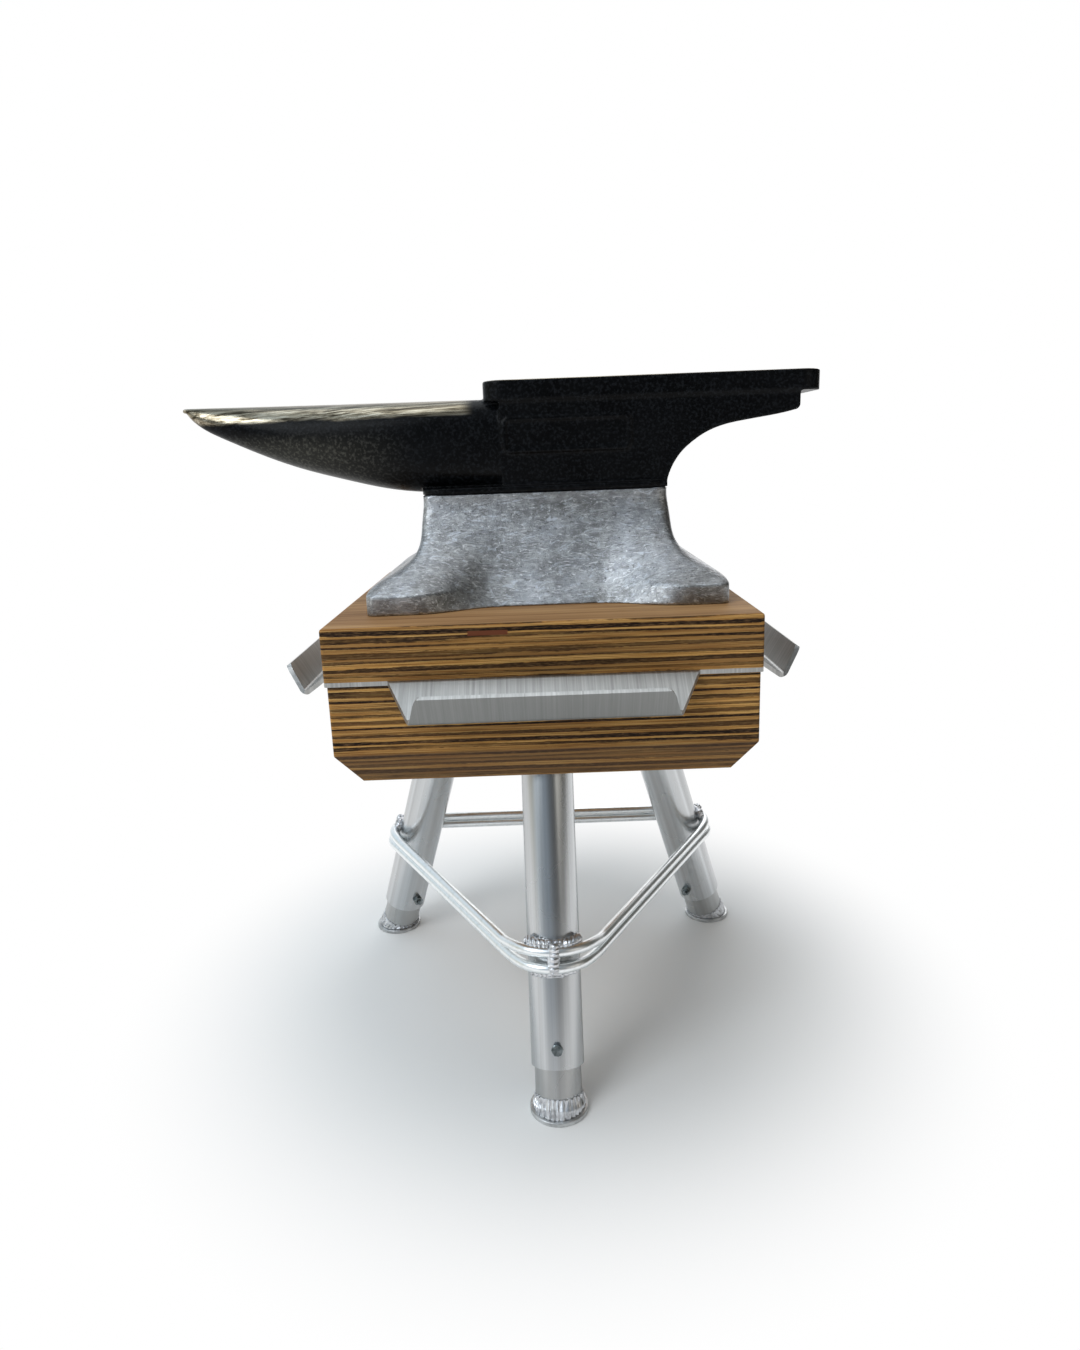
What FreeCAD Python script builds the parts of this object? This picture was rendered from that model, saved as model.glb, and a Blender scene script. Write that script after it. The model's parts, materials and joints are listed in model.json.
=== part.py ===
import FreeCAD, Part
import math
import os

os.makedirs("parts", exist_ok=True)

V = FreeCAD.Vector
UP = V(0, 0, 1)

# All sizes are in millimetres. The stand's own axis is vertical, the floor is z = 0,
# X runs along the anvil with the heel at plus X, and the front leg points to minus Y.

# ---------------------------------------------------------------- wood block and tray plate
BOARD_WIDTH = 386.0            # side of the square top board
LOWER_BOARD_INSET = 2.0        # how much the two lower boards stand back on each side
BOARD_THICKNESS = 48.0         # one plywood board
BOARD_EDGE_RADIUS = 3.0        # worn edges of the boards
BEVEL_IN = 21.0                # bevel round the underside: inwards
BEVEL_UP = 32.0                # bevel round the underside: upwards
BLOCK_UNDERSIDE = 308.0        # height of the block's underside above the floor
SHEET = 4.0                    # thickness of the tray plate
SHEET_BEND_RADIUS = 5.0        # bend radius at the middle of the sheet
SHELF_REACH = 38.5             # tray's bottom bend, out from the block's face
SHELF_DROP = 28.0              # tray's bottom bend, below the plate
LIP_REACH = 16.0               # lip's top, out from the bottom bend
LIP_RISE = 28.0                # lip's top, above the bottom bend
TRAY_ROOT_HALF = 137.0         # half the tray's width at the block
TRAY_BEND_HALF = 115.0         # half the tray's width at its bottom bend
TRAY_LIP_HALF = 106.0          # half the tray's width at the top of its lip
TRAY_LIP_CORNER = 13.0          # rounded upper corners of the lip

# ---------------------------------------------------------------- legs
LEG_AZIMUTHS = {"front": -90.0, "left": 150.0, "right": 30.0}
LEG_TILT = math.radians(18.6)  # from vertical
LOCK_BOLT_TURNS = {"front": 0.0, "left": -24.0, "right": 24.0}  # rear nuts turn to the front
FOOT_RADIUS = 234.0            # from the stand's axis to a foot's centre
TUBE_RADIUS = 25.0             # outer tube
TUBE_WALL = 3.0
TUBE_PLAY = 0.1                # radial running clearance between the tubes
BORE_PLAY = 0.3                # radial clearance of a leg in its bore through the boards
OUTER_TUBE_END = 39.3          # height of the outer tube's lower end on its axis
INNER_TUBE_LENGTH = 240.0
LEG_TRAVEL = 100.0
FOOT_DISC_RADIUS = 27.5
FOOT_DISC_THICKNESS = 4.5
FOOT_WELD_HEIGHT = 11.0
LEG_WELD = 6.0                 # weld between leg and tray plate
BOLT_FROM_TUBE_END = 19.0      # lock bolt, above the outer tube's lower end
BOLT_RADIUS = 3.0
BOLT_PLAY = 0.3                # radial clearance of the lock bolt in its holes
BOLT_HEX = 10.0                # across flats, head and nut
BOLT_HEAD_HEIGHT = 4.0
NUT_HEIGHT = 6.0
BOLT_TAIL = 3.0                # bolt end beyond its nut
SEAT_GAP = 0.1                 # flat seat of head and nut against the round tube

# ---------------------------------------------------------------- ring brace
ROD_RADIUS = 5.0
ROD_GAP = 0.3                  # between the two rods in the straight spans
RING_HEIGHT = 138.0            # between the two rods, in the straight spans
RING_SPAN = 130.0              # from the stand's axis to a straight span
RISE_AT_LEG = {"front": 5.0, "left": 0.5, "right": 0.5}  # the hand-bent ring isn't quite level
BEND_LIFT = 2.6                # how far the upper rod rises further at a leg
BEND_DROP = 1.2                # how far the lower rod sinks at a leg
ROD_LEG_GAP = 0.2              # bridged by the weld
BEAD_RADIUS = 3.6              # weld bead over the upper rod
UNDER_BEAD_RADIUS = 2.8        # weld bead under the lower rod
BEAD_HALF_ANGLES = {"front": 50.0, "left": 34.0, "right": 34.0}  # upper bead's reach round the leg
BEAD_IN_CORNER = 0.88          # bead's middle from the leg's surface, share of its radius
BEAD_ON_ROD = 0.36             # bead's middle from the rod's surface, share of its radius
TIE_RADIUS = 4.1               # bead that ties the two rods together
TIE_OVER = 2.6                 # how far the tie's middle stands outside the rods' middles

# ---------------------------------------------------------------- block screws
SCREW_RADIUS = 5.0
SCREW_HEX = 17.0
SCREW_HEAD_HEIGHT = 6.5
SCREW_RECESS = 11.0            # depth of the counterbores for heads and washers
RECESS_RADIUS = 14.0
SCREW_PLACE = 150.0            # each screw's distance from the centre along X and along Y
SCREW_COVER = 14.0             # wood left above the screw tip
WASHER_RADIUS = 12.0
WASHER_THICKNESS = 2.5
HOLE_PLAY = 0.5                # radial clearance round screws and washers

# ---------------------------------------------------------------- anvil
BASE_HEIGHT = 104.0            # aluminium base
FOOT_FACET = 18.0              # upright face of the base's four toes
TOE_DOME = 21.0                # height in which a toe's top curves in to the column
BASE_LEFT = -161.5
BASE_RIGHT = 174.5
BASE_HALF_WIDTH = 139.0        # at the toes
BASE_SIDE_HALF = 110.0         # at the middle of a long side
TOE_SIDE = 52.0                # length along X of a toe's slanting inner side
RIDGE_AT_BLOCK = 12.0          # inner edge of a corner ridge, in from the neck's end
RIDGE_AT_CREASE = 6.0
RIDGE_AT_NECK = 32.0
NECK_LEFT = -113.4
NECK_RIGHT = 129.1
NECK_HALF = 57.5
NECK_CORNER = 21.0             # corner radius of the neck
LIP_BAND = 6.0                 # band of iron over the aluminium
LIP_BAND_OVER = 0.6
ANVIL_FACE = 210.0             # face height over the block
SLAB_THICKNESS = 19.5
SLAB_LEFT = -49.5
SLAB_RIGHT = 280.0
SLAB_HALF = 52.5
SLAB_CORNER = 20.0
WEB_HALF = 51.0                # body under the slab
WEB_LEFT = -34.0
HEEL_END = 258.0
HORN_TIP = -358.0
HARDY_SIDE = 25.4
HARDY_X = 176.0
PRITCHEL_RADIUS = 8.0
PRITCHEL_X = 226.0
PRITCHEL_Y = 22.0
PANEL_LEFT = -31.0             # bare raised panel on the body's front
PANEL_RIGHT = 94.0
PANEL_LOW = 141.5
PANEL_HIGH = 175.0
PANEL_RIM = 3.0
PANEL_RAISE = 1.6
JOINING_BOLT_RADIUS = 8.0
JOINING_BOLT_HEX = 24.0
JOINING_BOLT_HEAD = 10.0
JOINING_BOLT_SEAT = 45.0       # height of the bolt seats over the block
JOINING_BOLT_GRIP = 35.0       # thread length in the iron
JOINING_BOLT_PLACE = 65.0      # from the middle of the neck
HOLD_SCREW_RADIUS = 4.0
HOLD_SCREW_HEX = 13.0
HOLD_SCREW_HEAD = 5.5
HOLD_SCREW_SEAT = 15.0         # height of the spot-faced seat over the block
HOLD_SCREW_DEPTH = 35.0        # thread length in the top board
HOLD_SCREW_END_GAP = 15.0      # from the base's end to the screw
SPOT_FACE_RADIUS = 8.5

# ---------------------------------------------------------------- derived heights and places
LOWER_WIDTH = BOARD_WIDTH - 2 * LOWER_BOARD_INSET
BOTTOM_BOARD_TOP = BLOCK_UNDERSIDE + BOARD_THICKNESS
PLATE_UNDERSIDE = BOTTOM_BOARD_TOP + BOARD_THICKNESS
PLATE_TOP = PLATE_UNDERSIDE + SHEET
BLOCK_TOP = PLATE_TOP + BOARD_THICKNESS
LIP_ANGLE = math.atan2(LIP_RISE, LIP_REACH)
TRAY_REACH = BOARD_WIDTH / 2 + SHELF_REACH + LIP_REACH + SHEET / 2 * math.sin(LIP_ANGLE)
# the model's origin is the middle of its bounding box on the floor
SHIFT_X = -(HORN_TIP + SLAB_RIGHT) / 2
SHIFT_Y = (FOOT_RADIUS + FOOT_DISC_RADIUS - TRAY_REACH) / 2
INNER_TUBE_RADIUS = TUBE_RADIUS - TUBE_WALL - TUBE_PLAY
FAR = 2 * BLOCK_TOP             # beyond every piece, for blocks that only cut


# ================================================================ helpers
def box(low, high):
    size = [high[i] - low[i] for i in range(3)]
    return Part.makeBox(size[0], size[1], size[2], V(*low))


def cylinder(start, end, radius):
    axis = end - start
    return Part.makeCylinder(radius, axis.Length, start, axis)


def tube(start, end, radius, wall):
    axis = end - start
    lead = V(axis).normalize()
    return cylinder(start, end, radius).cut(cylinder(start - lead, end + lead, radius - wall))


def hexagon(start, end, across_flats, flat_direction):
    """Hexagonal prism from start to end, with one flat facing flat_direction."""
    axis = end - start
    side = V(axis).normalize().cross(flat_direction).normalize()
    other = side.cross(V(axis).normalize())
    corner = across_flats / math.sqrt(3)
    points = []
    for k in range(7):
        angle = math.radians(60 * k)
        points.append(start + side * (corner * math.cos(angle)) + other * (corner * math.sin(angle)))
    return Part.Face(Part.makePolygon(points)).extrude(axis)


def hex_head(start, end, across_flats, flat_direction):
    """Hexagonal head whose outer rim is rounded off by a cone, as a forged head is."""
    axis = end - start
    lead = V(axis).normalize()
    corner = across_flats / math.sqrt(3)
    rim = Part.makeCone(corner + axis.Length, across_flats * 0.47, axis.Length, start, lead)
    return hexagon(start, end, across_flats, flat_direction).common(rim)


def arc_edge(start, middle, end):
    return Part.Arc(start, middle, end).toShape()


def rounded_rectangle(half_x, half_y, radius, z, centre_x=0.0):
    """Closed wire of a rectangle with round corners, lying level at height z."""
    edges = []
    corners = [(1, 1), (-1, 1), (-1, -1), (1, -1)]
    for k, (sx, sy) in enumerate(corners):
        cx = centre_x + sx * (half_x - radius)
        cy = sy * (half_y - radius)
        first = math.radians(90 * k)
        spots = [first + math.radians(45 * i) for i in range(3)]
        points = [V(cx + radius * math.cos(a), cy + radius * math.sin(a), z) for a in spots]
        edges.append((points[0], points[1], points[2]))
    wire = []
    for k in range(4):
        wire.append(arc_edge(*edges[k]))
        wire.append(Part.makeLine(edges[k][2], edges[(k + 1) % 4][0]))
    return Part.Wire(wire)


def round_corners(points, radii, arc_points):
    """Points along a closed outline whose corners are rounded to the given radii."""
    outline = []
    count = len(points)
    for k in range(count):
        here = points[k]
        back = (points[k - 1] - here).normalize()
        ahead = (points[(k + 1) % count] - here).normalize()
        half = back.getAngle(ahead) / 2
        if half > math.radians(89.5):
            outline.append(here)
            continue
        reach = radii[k] / math.tan(half)
        centre = here + (back + ahead).normalize() * (radii[k] / math.sin(half))
        first = here + back * reach - centre
        last = here + ahead * reach - centre
        turn = first.getAngle(last)
        for i in range(arc_points):
            share = i / (arc_points - 1)
            a = math.sin((1 - share) * turn) / math.sin(turn)
            b = math.sin(share * turn) / math.sin(turn)
            outline.append(centre + first * a + last * b)
    return outline


def spacing_along(points):
    """Running share of the way round a closed row of points, from 0 to 1."""
    total = [0.0]
    for k in range(len(points)):
        total.append(total[-1] + (points[(k + 1) % len(points)] - points[k]).Length)
    return [t / total[-1] for t in total]


def closed_spline(points, spacing, pieces=1):
    """Smooth closed wire of one or more edges; sections of one loft share the same spacing."""
    curve = Part.BSplineCurve()
    curve.interpolate(Points=points, PeriodicFlag=True, Parameters=spacing)
    ends = [spacing[len(points) * k // pieces] for k in range(pieces + 1)]
    return Part.Wire([curve.toShape(ends[k], ends[k + 1]) for k in range(pieces)])


def turned(shape, degrees):
    copy = shape.copy()
    copy.rotate(V(0, 0, 0), UP, degrees)
    return copy


def fuse_all(shapes):
    result = shapes[0]
    for shape in shapes[1:]:
        result = result.fuse(shape)
    return result


def interpolate(table, x):
    """Straight-line reading of a list of (x, value) pairs."""
    for (x0, v0), (x1, v1) in zip(table, table[1:]):
        if x <= x1:
            share = (x - x0) / (x1 - x0)
            return v0 + (v1 - v0) * min(max(share, 0.0), 1.0)
    return table[-1][1]


# ================================================================ leg geometry
class Leg:
    """Directions and points of one leg; heights are measured on the leg's axis."""

    def __init__(self, name, azimuth):
        angle = math.radians(azimuth)
        self.name = name
        self.azimuth = azimuth
        self.out = V(math.cos(angle), math.sin(angle), 0)
        self.side = UP.cross(self.out)
        self.up = UP * math.cos(LEG_TILT) - self.out * math.sin(LEG_TILT)
        self.face = self.out * math.cos(LEG_TILT) + UP * math.sin(LEG_TILT)
        turn = math.radians(LOCK_BOLT_TURNS[name])
        self.bolt_way = self.face * math.cos(turn) + self.side * math.sin(turn)
        self.bolt_side = self.side * math.cos(turn) - self.face * math.sin(turn)

    def radius_at(self, height):
        return FOOT_RADIUS - height * math.tan(LEG_TILT)

    def point(self, height):
        return self.out * self.radius_at(height) + UP * height

    def bolt_centre(self):
        return self.point(OUTER_TUBE_END) + self.up * BOLT_FROM_TUBE_END


def below(z):
    return box((-FAR, -FAR, z - FAR), (FAR, FAR, z))


def above(z):
    return box((-FAR, -FAR, z), (FAR, FAR, z + FAR))


def outer_tube(leg):
    start = leg.point(OUTER_TUBE_END)
    end = leg.point(PLATE_UNDERSIDE) + leg.up * (2 * TUBE_RADIUS)
    body = tube(start, end, TUBE_RADIUS, TUBE_WALL).common(below(PLATE_UNDERSIDE))
    centre = leg.bolt_centre()
    reach = leg.bolt_way * (TUBE_RADIUS + 5)
    return body.cut(cylinder(centre - reach, centre + reach, BOLT_RADIUS + BOLT_PLAY))


def leg_core(leg, radius, low, high):
    """Solid cylinder on the leg's axis, used to cut room for the leg."""
    return cylinder(leg.point(low), leg.point(high), radius)


def inner_tube(leg):
    foot = leg.point(FOOT_DISC_THICKNESS)
    start = foot - leg.up * (2 * TUBE_RADIUS)
    end = foot + leg.up * INNER_TUBE_LENGTH
    body = tube(start, end, INNER_TUBE_RADIUS, TUBE_WALL).common(above(FOOT_DISC_THICKNESS))
    # adjusting slot through both walls, seen by the lock bolt as the leg slides out
    low = leg.bolt_centre()
    high = low + leg.up * LEG_TRAVEL
    half = BOLT_RADIUS + BOLT_PLAY
    reach = leg.bolt_way * (TUBE_RADIUS + 5)
    corner = low - reach - leg.bolt_side * half
    across = leg.bolt_side * (2 * half)
    outline = Part.makePolygon([corner, corner + across, corner + across + leg.up * LEG_TRAVEL,
                                corner + leg.up * LEG_TRAVEL, corner])
    slot = Part.Face(outline).extrude(reach * 2)
    slot = slot.fuse(cylinder(low - reach, low + reach, half))
    slot = slot.fuse(cylinder(high - reach, high + reach, half))
    return body.cut(slot)


def foot_disc(leg):
    centre = leg.point(0)
    disc = Part.makeCylinder(FOOT_DISC_RADIUS, FOOT_DISC_THICKNESS, centre, UP)
    return disc.makeFillet(1.0, [e for e in disc.Edges if isinstance(e.Curve, Part.Circle)])


def foot_weld(leg):
    """Fillet bead round the inner tube where it stands on its disc."""
    base = leg.point(FOOT_DISC_THICKNESS)
    toe = FOOT_DISC_RADIUS - 2.2
    cone_height = FOOT_WELD_HEIGHT + 2 * TUBE_RADIUS * math.tan(LEG_TILT)
    spread = (toe - INNER_TUBE_RADIUS) * cone_height / FOOT_WELD_HEIGHT
    bead = Part.makeCone(toe, toe - spread, cone_height, base, leg.up)
    skirt = Part.makeCylinder(toe, 3 * TUBE_WALL, base - leg.up * (3 * TUBE_WALL), leg.up)
    bead = bead.fuse(skirt).common(above(FOOT_DISC_THICKNESS))
    reach = leg.up * (2 * TUBE_RADIUS)
    bead = bead.cut(cylinder(base - reach, base + reach, INNER_TUBE_RADIUS))
    rim = Part.makeCylinder(FOOT_DISC_RADIUS - 1.0, FAR, leg.point(0), UP)
    return bead.common(rim)


def plate_weld(leg):
    """Fillet bead between the leg's top and the tray plate's underside."""
    top = leg.point(PLATE_UNDERSIDE)
    length = 2 * LEG_WELD
    wide = TUBE_RADIUS + 2 * LEG_WELD
    reach = leg.up * (2 * TUBE_RADIUS)
    bead = Part.makeCone(TUBE_RADIUS, wide, length, top - leg.up * LEG_WELD, leg.up)
    bead = bead.common(box((-FAR, -FAR, PLATE_UNDERSIDE - LEG_WELD), (FAR, FAR, PLATE_UNDERSIDE)))
    return bead.cut(cylinder(top - reach, top + reach, TUBE_RADIUS))


def weld_room(leg):
    """Countersink in the middle board that leaves room for the plate weld."""
    top = leg.point(PLATE_UNDERSIDE)
    length = 3 * LEG_WELD
    low = top - leg.up * (2 * LEG_WELD)
    return Part.makeCone(TUBE_RADIUS + BORE_PLAY, TUBE_RADIUS + BORE_PLAY + length, length, low, leg.up)


def lock_bolt(leg):
    centre = leg.bolt_centre()
    way = leg.bolt_way
    seat = centre + way * (TUBE_RADIUS + SEAT_GAP)
    head = hex_head(seat, seat + way * BOLT_HEAD_HEIGHT, BOLT_HEX, leg.up)
    tip = centre - way * (TUBE_RADIUS + SEAT_GAP + NUT_HEIGHT + BOLT_TAIL)
    return head.fuse(cylinder(tip, seat + way, BOLT_RADIUS))


def lock_nut(leg):
    seat = leg.bolt_centre() - leg.bolt_way * (TUBE_RADIUS + SEAT_GAP)
    end = seat - leg.bolt_way * NUT_HEIGHT
    nut = hex_head(seat, end, BOLT_HEX, leg.up)
    return nut.cut(cylinder(seat + leg.bolt_way, end - leg.bolt_way, BOLT_RADIUS))


# ================================================================ boards and plate
def board(width, low, high, top_edges):
    half = width / 2
    block = box((-half, -half, low), (half, half, high))
    picked = []
    for edge in block.Edges:
        middle = edge.valueAt((edge.FirstParameter + edge.LastParameter) / 2)
        upright = abs(middle.z - (low + high) / 2) < 0.01
        if upright or (top_edges and middle.z > high - 0.01):
            picked.append(edge)
    return block.makeFillet(BOARD_EDGE_RADIUS, picked)


def bevelled_foot(width, low):
    """Square frustum that bevels the block's underside all round."""
    reach = BEVEL_UP * 3
    spread = BEVEL_IN / BEVEL_UP * reach
    wires = []
    for half, z in ((width / 2 - BEVEL_IN, low), (width / 2 - BEVEL_IN + spread, low + reach)):
        corners = [V(half, half, z), V(-half, half, z), V(-half, -half, z), V(half, -half, z)]
        wires.append(Part.makePolygon(corners + [corners[0]]))
    return Part.makeLoft(wires, True, True)


def screw_places():
    return [V(sx * SCREW_PLACE, sy * SCREW_PLACE, 0) for sx in (-1, 1) for sy in (-1, 1)]


def hold_screw_places():
    left = V(BASE_LEFT + HOLD_SCREW_END_GAP, 0, BLOCK_TOP)
    right = V(BASE_RIGHT - HOLD_SCREW_END_GAP, 0, BLOCK_TOP)
    return [left, right]


def screw_room(radius, low, high):
    return [cylinder(p + UP * low, p + UP * high, radius) for p in screw_places()]


def sheet_section(path, radius, thickness, y):
    """Closed face of a sheet bent along a path of (out, z) points, standing at the given y."""
    half = thickness / 2
    turns = []
    for k in range(1, len(path) - 1):
        here = V(path[k][0], y, path[k][1])
        back = (V(path[k - 1][0], y, path[k - 1][1]) - here).normalize()
        ahead = (V(path[k + 1][0], y, path[k + 1][1]) - here).normalize()
        opening = back.getAngle(ahead) / 2
        towards = (back + ahead).normalize()
        centre = here + towards * (radius / math.sin(opening))
        reach = radius / math.tan(opening)
        turns.append((centre, here + back * reach, here + ahead * reach, towards))
    sides = []
    for sign in (1, -1):
        points = []
        first = V(path[0][0], y, path[0][1])
        last = V(path[-1][0], y, path[-1][1])
        start_way = (turns[0][1] - first).normalize()
        end_way = (last - turns[-1][2]).normalize()
        turn_axis = V(0, 1, 0)
        normal = turn_axis.cross(start_way) * sign
        points.append(("start", first + normal * half))
        for centre, enter, leave, towards in turns:
            a = enter - centre
            b = leave - centre
            same = a.dot(normal) > 0
            scale = (radius + half) / radius if same else (radius - half) / radius
            points.append(("arc", centre + a * scale, centre - towards * (radius * scale), centre + b * scale))
            normal = b * (1 / b.Length) if same else b * (-1 / b.Length)
        points.append(("end", last + normal * half))
        sides.append(points)
    edges = []
    for points in sides:
        here = points[0][1]
        for item in points[1:-1]:
            edges.append(Part.makeLine(here, item[1]))
            edges.append(arc_edge(item[1], item[2], item[3]))
            here = item[3]
        edges.append(Part.makeLine(here, points[-1][1]))
    edges.append(Part.makeLine(sides[0][0][1], sides[1][0][1]))
    edges.append(Part.makeLine(sides[0][-1][1], sides[1][-1][1]))
    return Part.Face(Part.Wire(Part.__sortEdges__(edges)))


def tray():
    """One tool tray on the plus X side: a shelf bent down and a lip bent up."""
    face = BOARD_WIDTH / 2
    middle = PLATE_UNDERSIDE + SHEET / 2
    bend = (face + SHELF_REACH, middle - SHELF_DROP)
    path = [(face - 12, middle), (face + 1.5, middle), bend, (bend[0] + LIP_REACH, bend[1] + LIP_RISE)]
    section = sheet_section(path, SHEET_BEND_RADIUS, SHEET, -TRAY_ROOT_HALF)
    strip = section.extrude(V(0, 2 * TRAY_ROOT_HALF, 0))
    root = [V(face - 12, -TRAY_ROOT_HALF, 0), V(face, -TRAY_ROOT_HALF, 0), V(bend[0], -TRAY_BEND_HALF, 0),
            V(bend[0], TRAY_BEND_HALF, 0), V(face, TRAY_ROOT_HALF, 0), V(face - 12, TRAY_ROOT_HALF, 0)]
    shelf = strip.common(Part.Face(Part.makePolygon(root + [root[0]])).extrude(UP * FAR))
    # the lip narrows towards its top and has round upper corners
    low = bend[1] - 3 * SHEET
    high = bend[1] + LIP_RISE + SHEET * 0.6
    narrow = (TRAY_BEND_HALF - TRAY_LIP_HALF) / LIP_RISE
    corners = [V(bend[0], -TRAY_BEND_HALF, bend[1]), V(bend[0], -TRAY_LIP_HALF + narrow, high),
               V(bend[0], TRAY_LIP_HALF - narrow, high), V(bend[0], TRAY_BEND_HALF, bend[1]),
               V(bend[0], TRAY_BEND_HALF, low), V(bend[0], -TRAY_BEND_HALF, low)]
    radii = [0.5, TRAY_LIP_CORNER, TRAY_LIP_CORNER, 0.5, 0.5, 0.5]
    outline = round_corners(corners, radii, 5)
    blank = Part.Face(Part.makePolygon(outline + [outline[0]])).extrude(V(4 * LIP_REACH, 0, 0))
    lip = strip.common(blank)
    return shelf.fuse(lip)


def tray_plate():
    half = BOARD_WIDTH / 2
    plate = box((-half, -half, PLATE_UNDERSIDE), (half, half, PLATE_TOP))
    uprights = []
    for edge in plate.Edges:
        if abs(edge.Vertexes[0].Z - edge.Vertexes[1].Z) > 0.1:
            uprights.append(edge)
    plate = plate.makeFillet(BOARD_EDGE_RADIUS, uprights)
    one = tray()
    for k in range(4):
        plate = plate.fuse(turned(one, 90 * k))
    for hole in screw_room(SCREW_RADIUS + HOLE_PLAY, PLATE_UNDERSIDE - 1, PLATE_TOP + 1):
        plate = plate.cut(hole)
    return plate.removeSplitter()


# ================================================================ ring brace
def rod_radius_at_leg(height):
    """Distance from the stand's axis to a rod's centre where it passes a leg."""
    stand_off = (TUBE_RADIUS + ROD_RADIUS + ROD_LEG_GAP) / math.cos(LEG_TILT)
    return FOOT_RADIUS - height * math.tan(LEG_TILT) + stand_off


def rod_sector(leg, span_height, bend_height):
    """One third of a rod: from mid-span round one leg to the next mid-span."""
    crown = rod_radius_at_leg(bend_height)
    bend = 2 * RING_SPAN - crown
    centre = crown - bend
    sixty = math.radians(60)
    run = centre * math.sin(sixty)
    easing = 22.0

    def place(out, side, z):
        return leg.out * out + leg.side * side + UP * z

    def on_line(distance, sign):
        out = centre + bend * math.cos(sixty) - distance * math.sin(sixty)
        side = bend * math.sin(sixty) + distance * math.cos(sixty)
        return place(out, sign * side, span_height)

    points = [on_line(easing, -1)]
    steps = 8
    for k in range(steps + 1):
        angle = -sixty + 2 * sixty * k / steps
        lift = (math.cos(1.5 * angle) + 1) / 2
        lift = lift * lift * (3 - 2 * lift)
        height = span_height + (bend_height - span_height) * lift
        out = centre + bend * math.cos(angle)
        points.append(place(out, bend * math.sin(angle), height))
    points.append(on_line(easing, 1))
    enter = (points[0] - on_line(run, -1)).normalize()
    leave = (on_line(run, 1) - points[-1]).normalize()
    curve = Part.BSplineCurve()
    curve.interpolate(Points=points, InitialTangent=enter, FinalTangent=leave)
    start = on_line(run, -1)
    finish = on_line(run, 1)
    edges = [Part.makeLine(start, points[0]), curve.toShape(), Part.makeLine(points[-1], finish)]
    profile = Part.Wire([Part.makeCircle(ROD_RADIUS, start, enter)])
    return Part.Wire(edges).makePipeShell([profile], True, False)


def ring_rod(legs, sign):
    """Upper (sign 1) or lower (-1) rod, and its height at each leg."""
    span_height = RING_HEIGHT + sign * (ROD_RADIUS + ROD_GAP / 2)
    parting = BEND_LIFT if sign > 0 else -BEND_DROP
    heights = {leg.name: span_height + parting + RISE_AT_LEG[leg.name] for leg in legs}
    sectors = [rod_sector(leg, span_height, heights[leg.name]) for leg in legs]
    return fuse_all(sectors), heights


def bead_arc(leg, spot, radius, half_angle):
    """Piece of a weld bead that runs round the leg at the level of spot, its middle point."""
    centre = leg.point(spot.z)
    path_radius = spot.dot(leg.out) - leg.radius_at(spot.z)
    torus = Part.makeTorus(path_radius, radius, V(0, 0, 0), UP, 0, 360, 2 * half_angle)
    torus.rotate(V(0, 0, 0), UP, leg.azimuth - half_angle)
    torus.translate(centre)
    parts = [torus]
    for sign in (-1, 1):
        angle = math.radians(sign * half_angle)
        end = leg.out * (path_radius * math.cos(angle)) + leg.side * (path_radius * math.sin(angle))
        parts.append(Part.makeSphere(radius, centre + end))
    return fuse_all(parts)


def fillet_spot(leg, rod_height, bead, sign):
    """Middle of a bead that lies in the corner between rod and leg, over (1) or under (-1) the rod."""
    rod = leg.out * rod_radius_at_leg(rod_height) + UP * rod_height
    inward = ROD_RADIUS + ROD_LEG_GAP - bead * BEAD_IN_CORNER
    reach = ROD_RADIUS + bead * BEAD_ON_ROD
    along = math.sqrt(reach ** 2 - inward ** 2)
    return rod - leg.face * inward + leg.up * (sign * along)


def ring_weld(leg, rods, upper_height, lower_height):
    half_angle = BEAD_HALF_ANGLES[leg.name]
    over_spot = fillet_spot(leg, upper_height, BEAD_RADIUS, 1)
    over = bead_arc(leg, over_spot, BEAD_RADIUS, half_angle)
    under_spot = fillet_spot(leg, lower_height, UNDER_BEAD_RADIUS, -1)
    under = bead_arc(leg, under_spot, UNDER_BEAD_RADIUS, 0.8 * half_angle)
    top = leg.out * (rod_radius_at_leg(upper_height) + TIE_OVER * 0.6) + UP * (upper_height + ROD_RADIUS)
    low = leg.out * (rod_radius_at_leg(lower_height) + TIE_OVER) + UP * (lower_height + TIE_OVER / 2)
    tie = cylinder(low, top, TIE_RADIUS)
    tie = tie.fuse(Part.makeSphere(TIE_RADIUS, top)).fuse(Part.makeSphere(TIE_RADIUS, low))
    core = leg_core(leg, TUBE_RADIUS, lower_height - 60, upper_height + 60)
    pieces = []
    for bead in (over.fuse(tie), under):
        left = bead.cut(core)
        for rod in rods:
            left = left.cut(rod)
        pieces += [s for s in left.Solids if s.Volume > 4.0]
    return pieces


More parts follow.
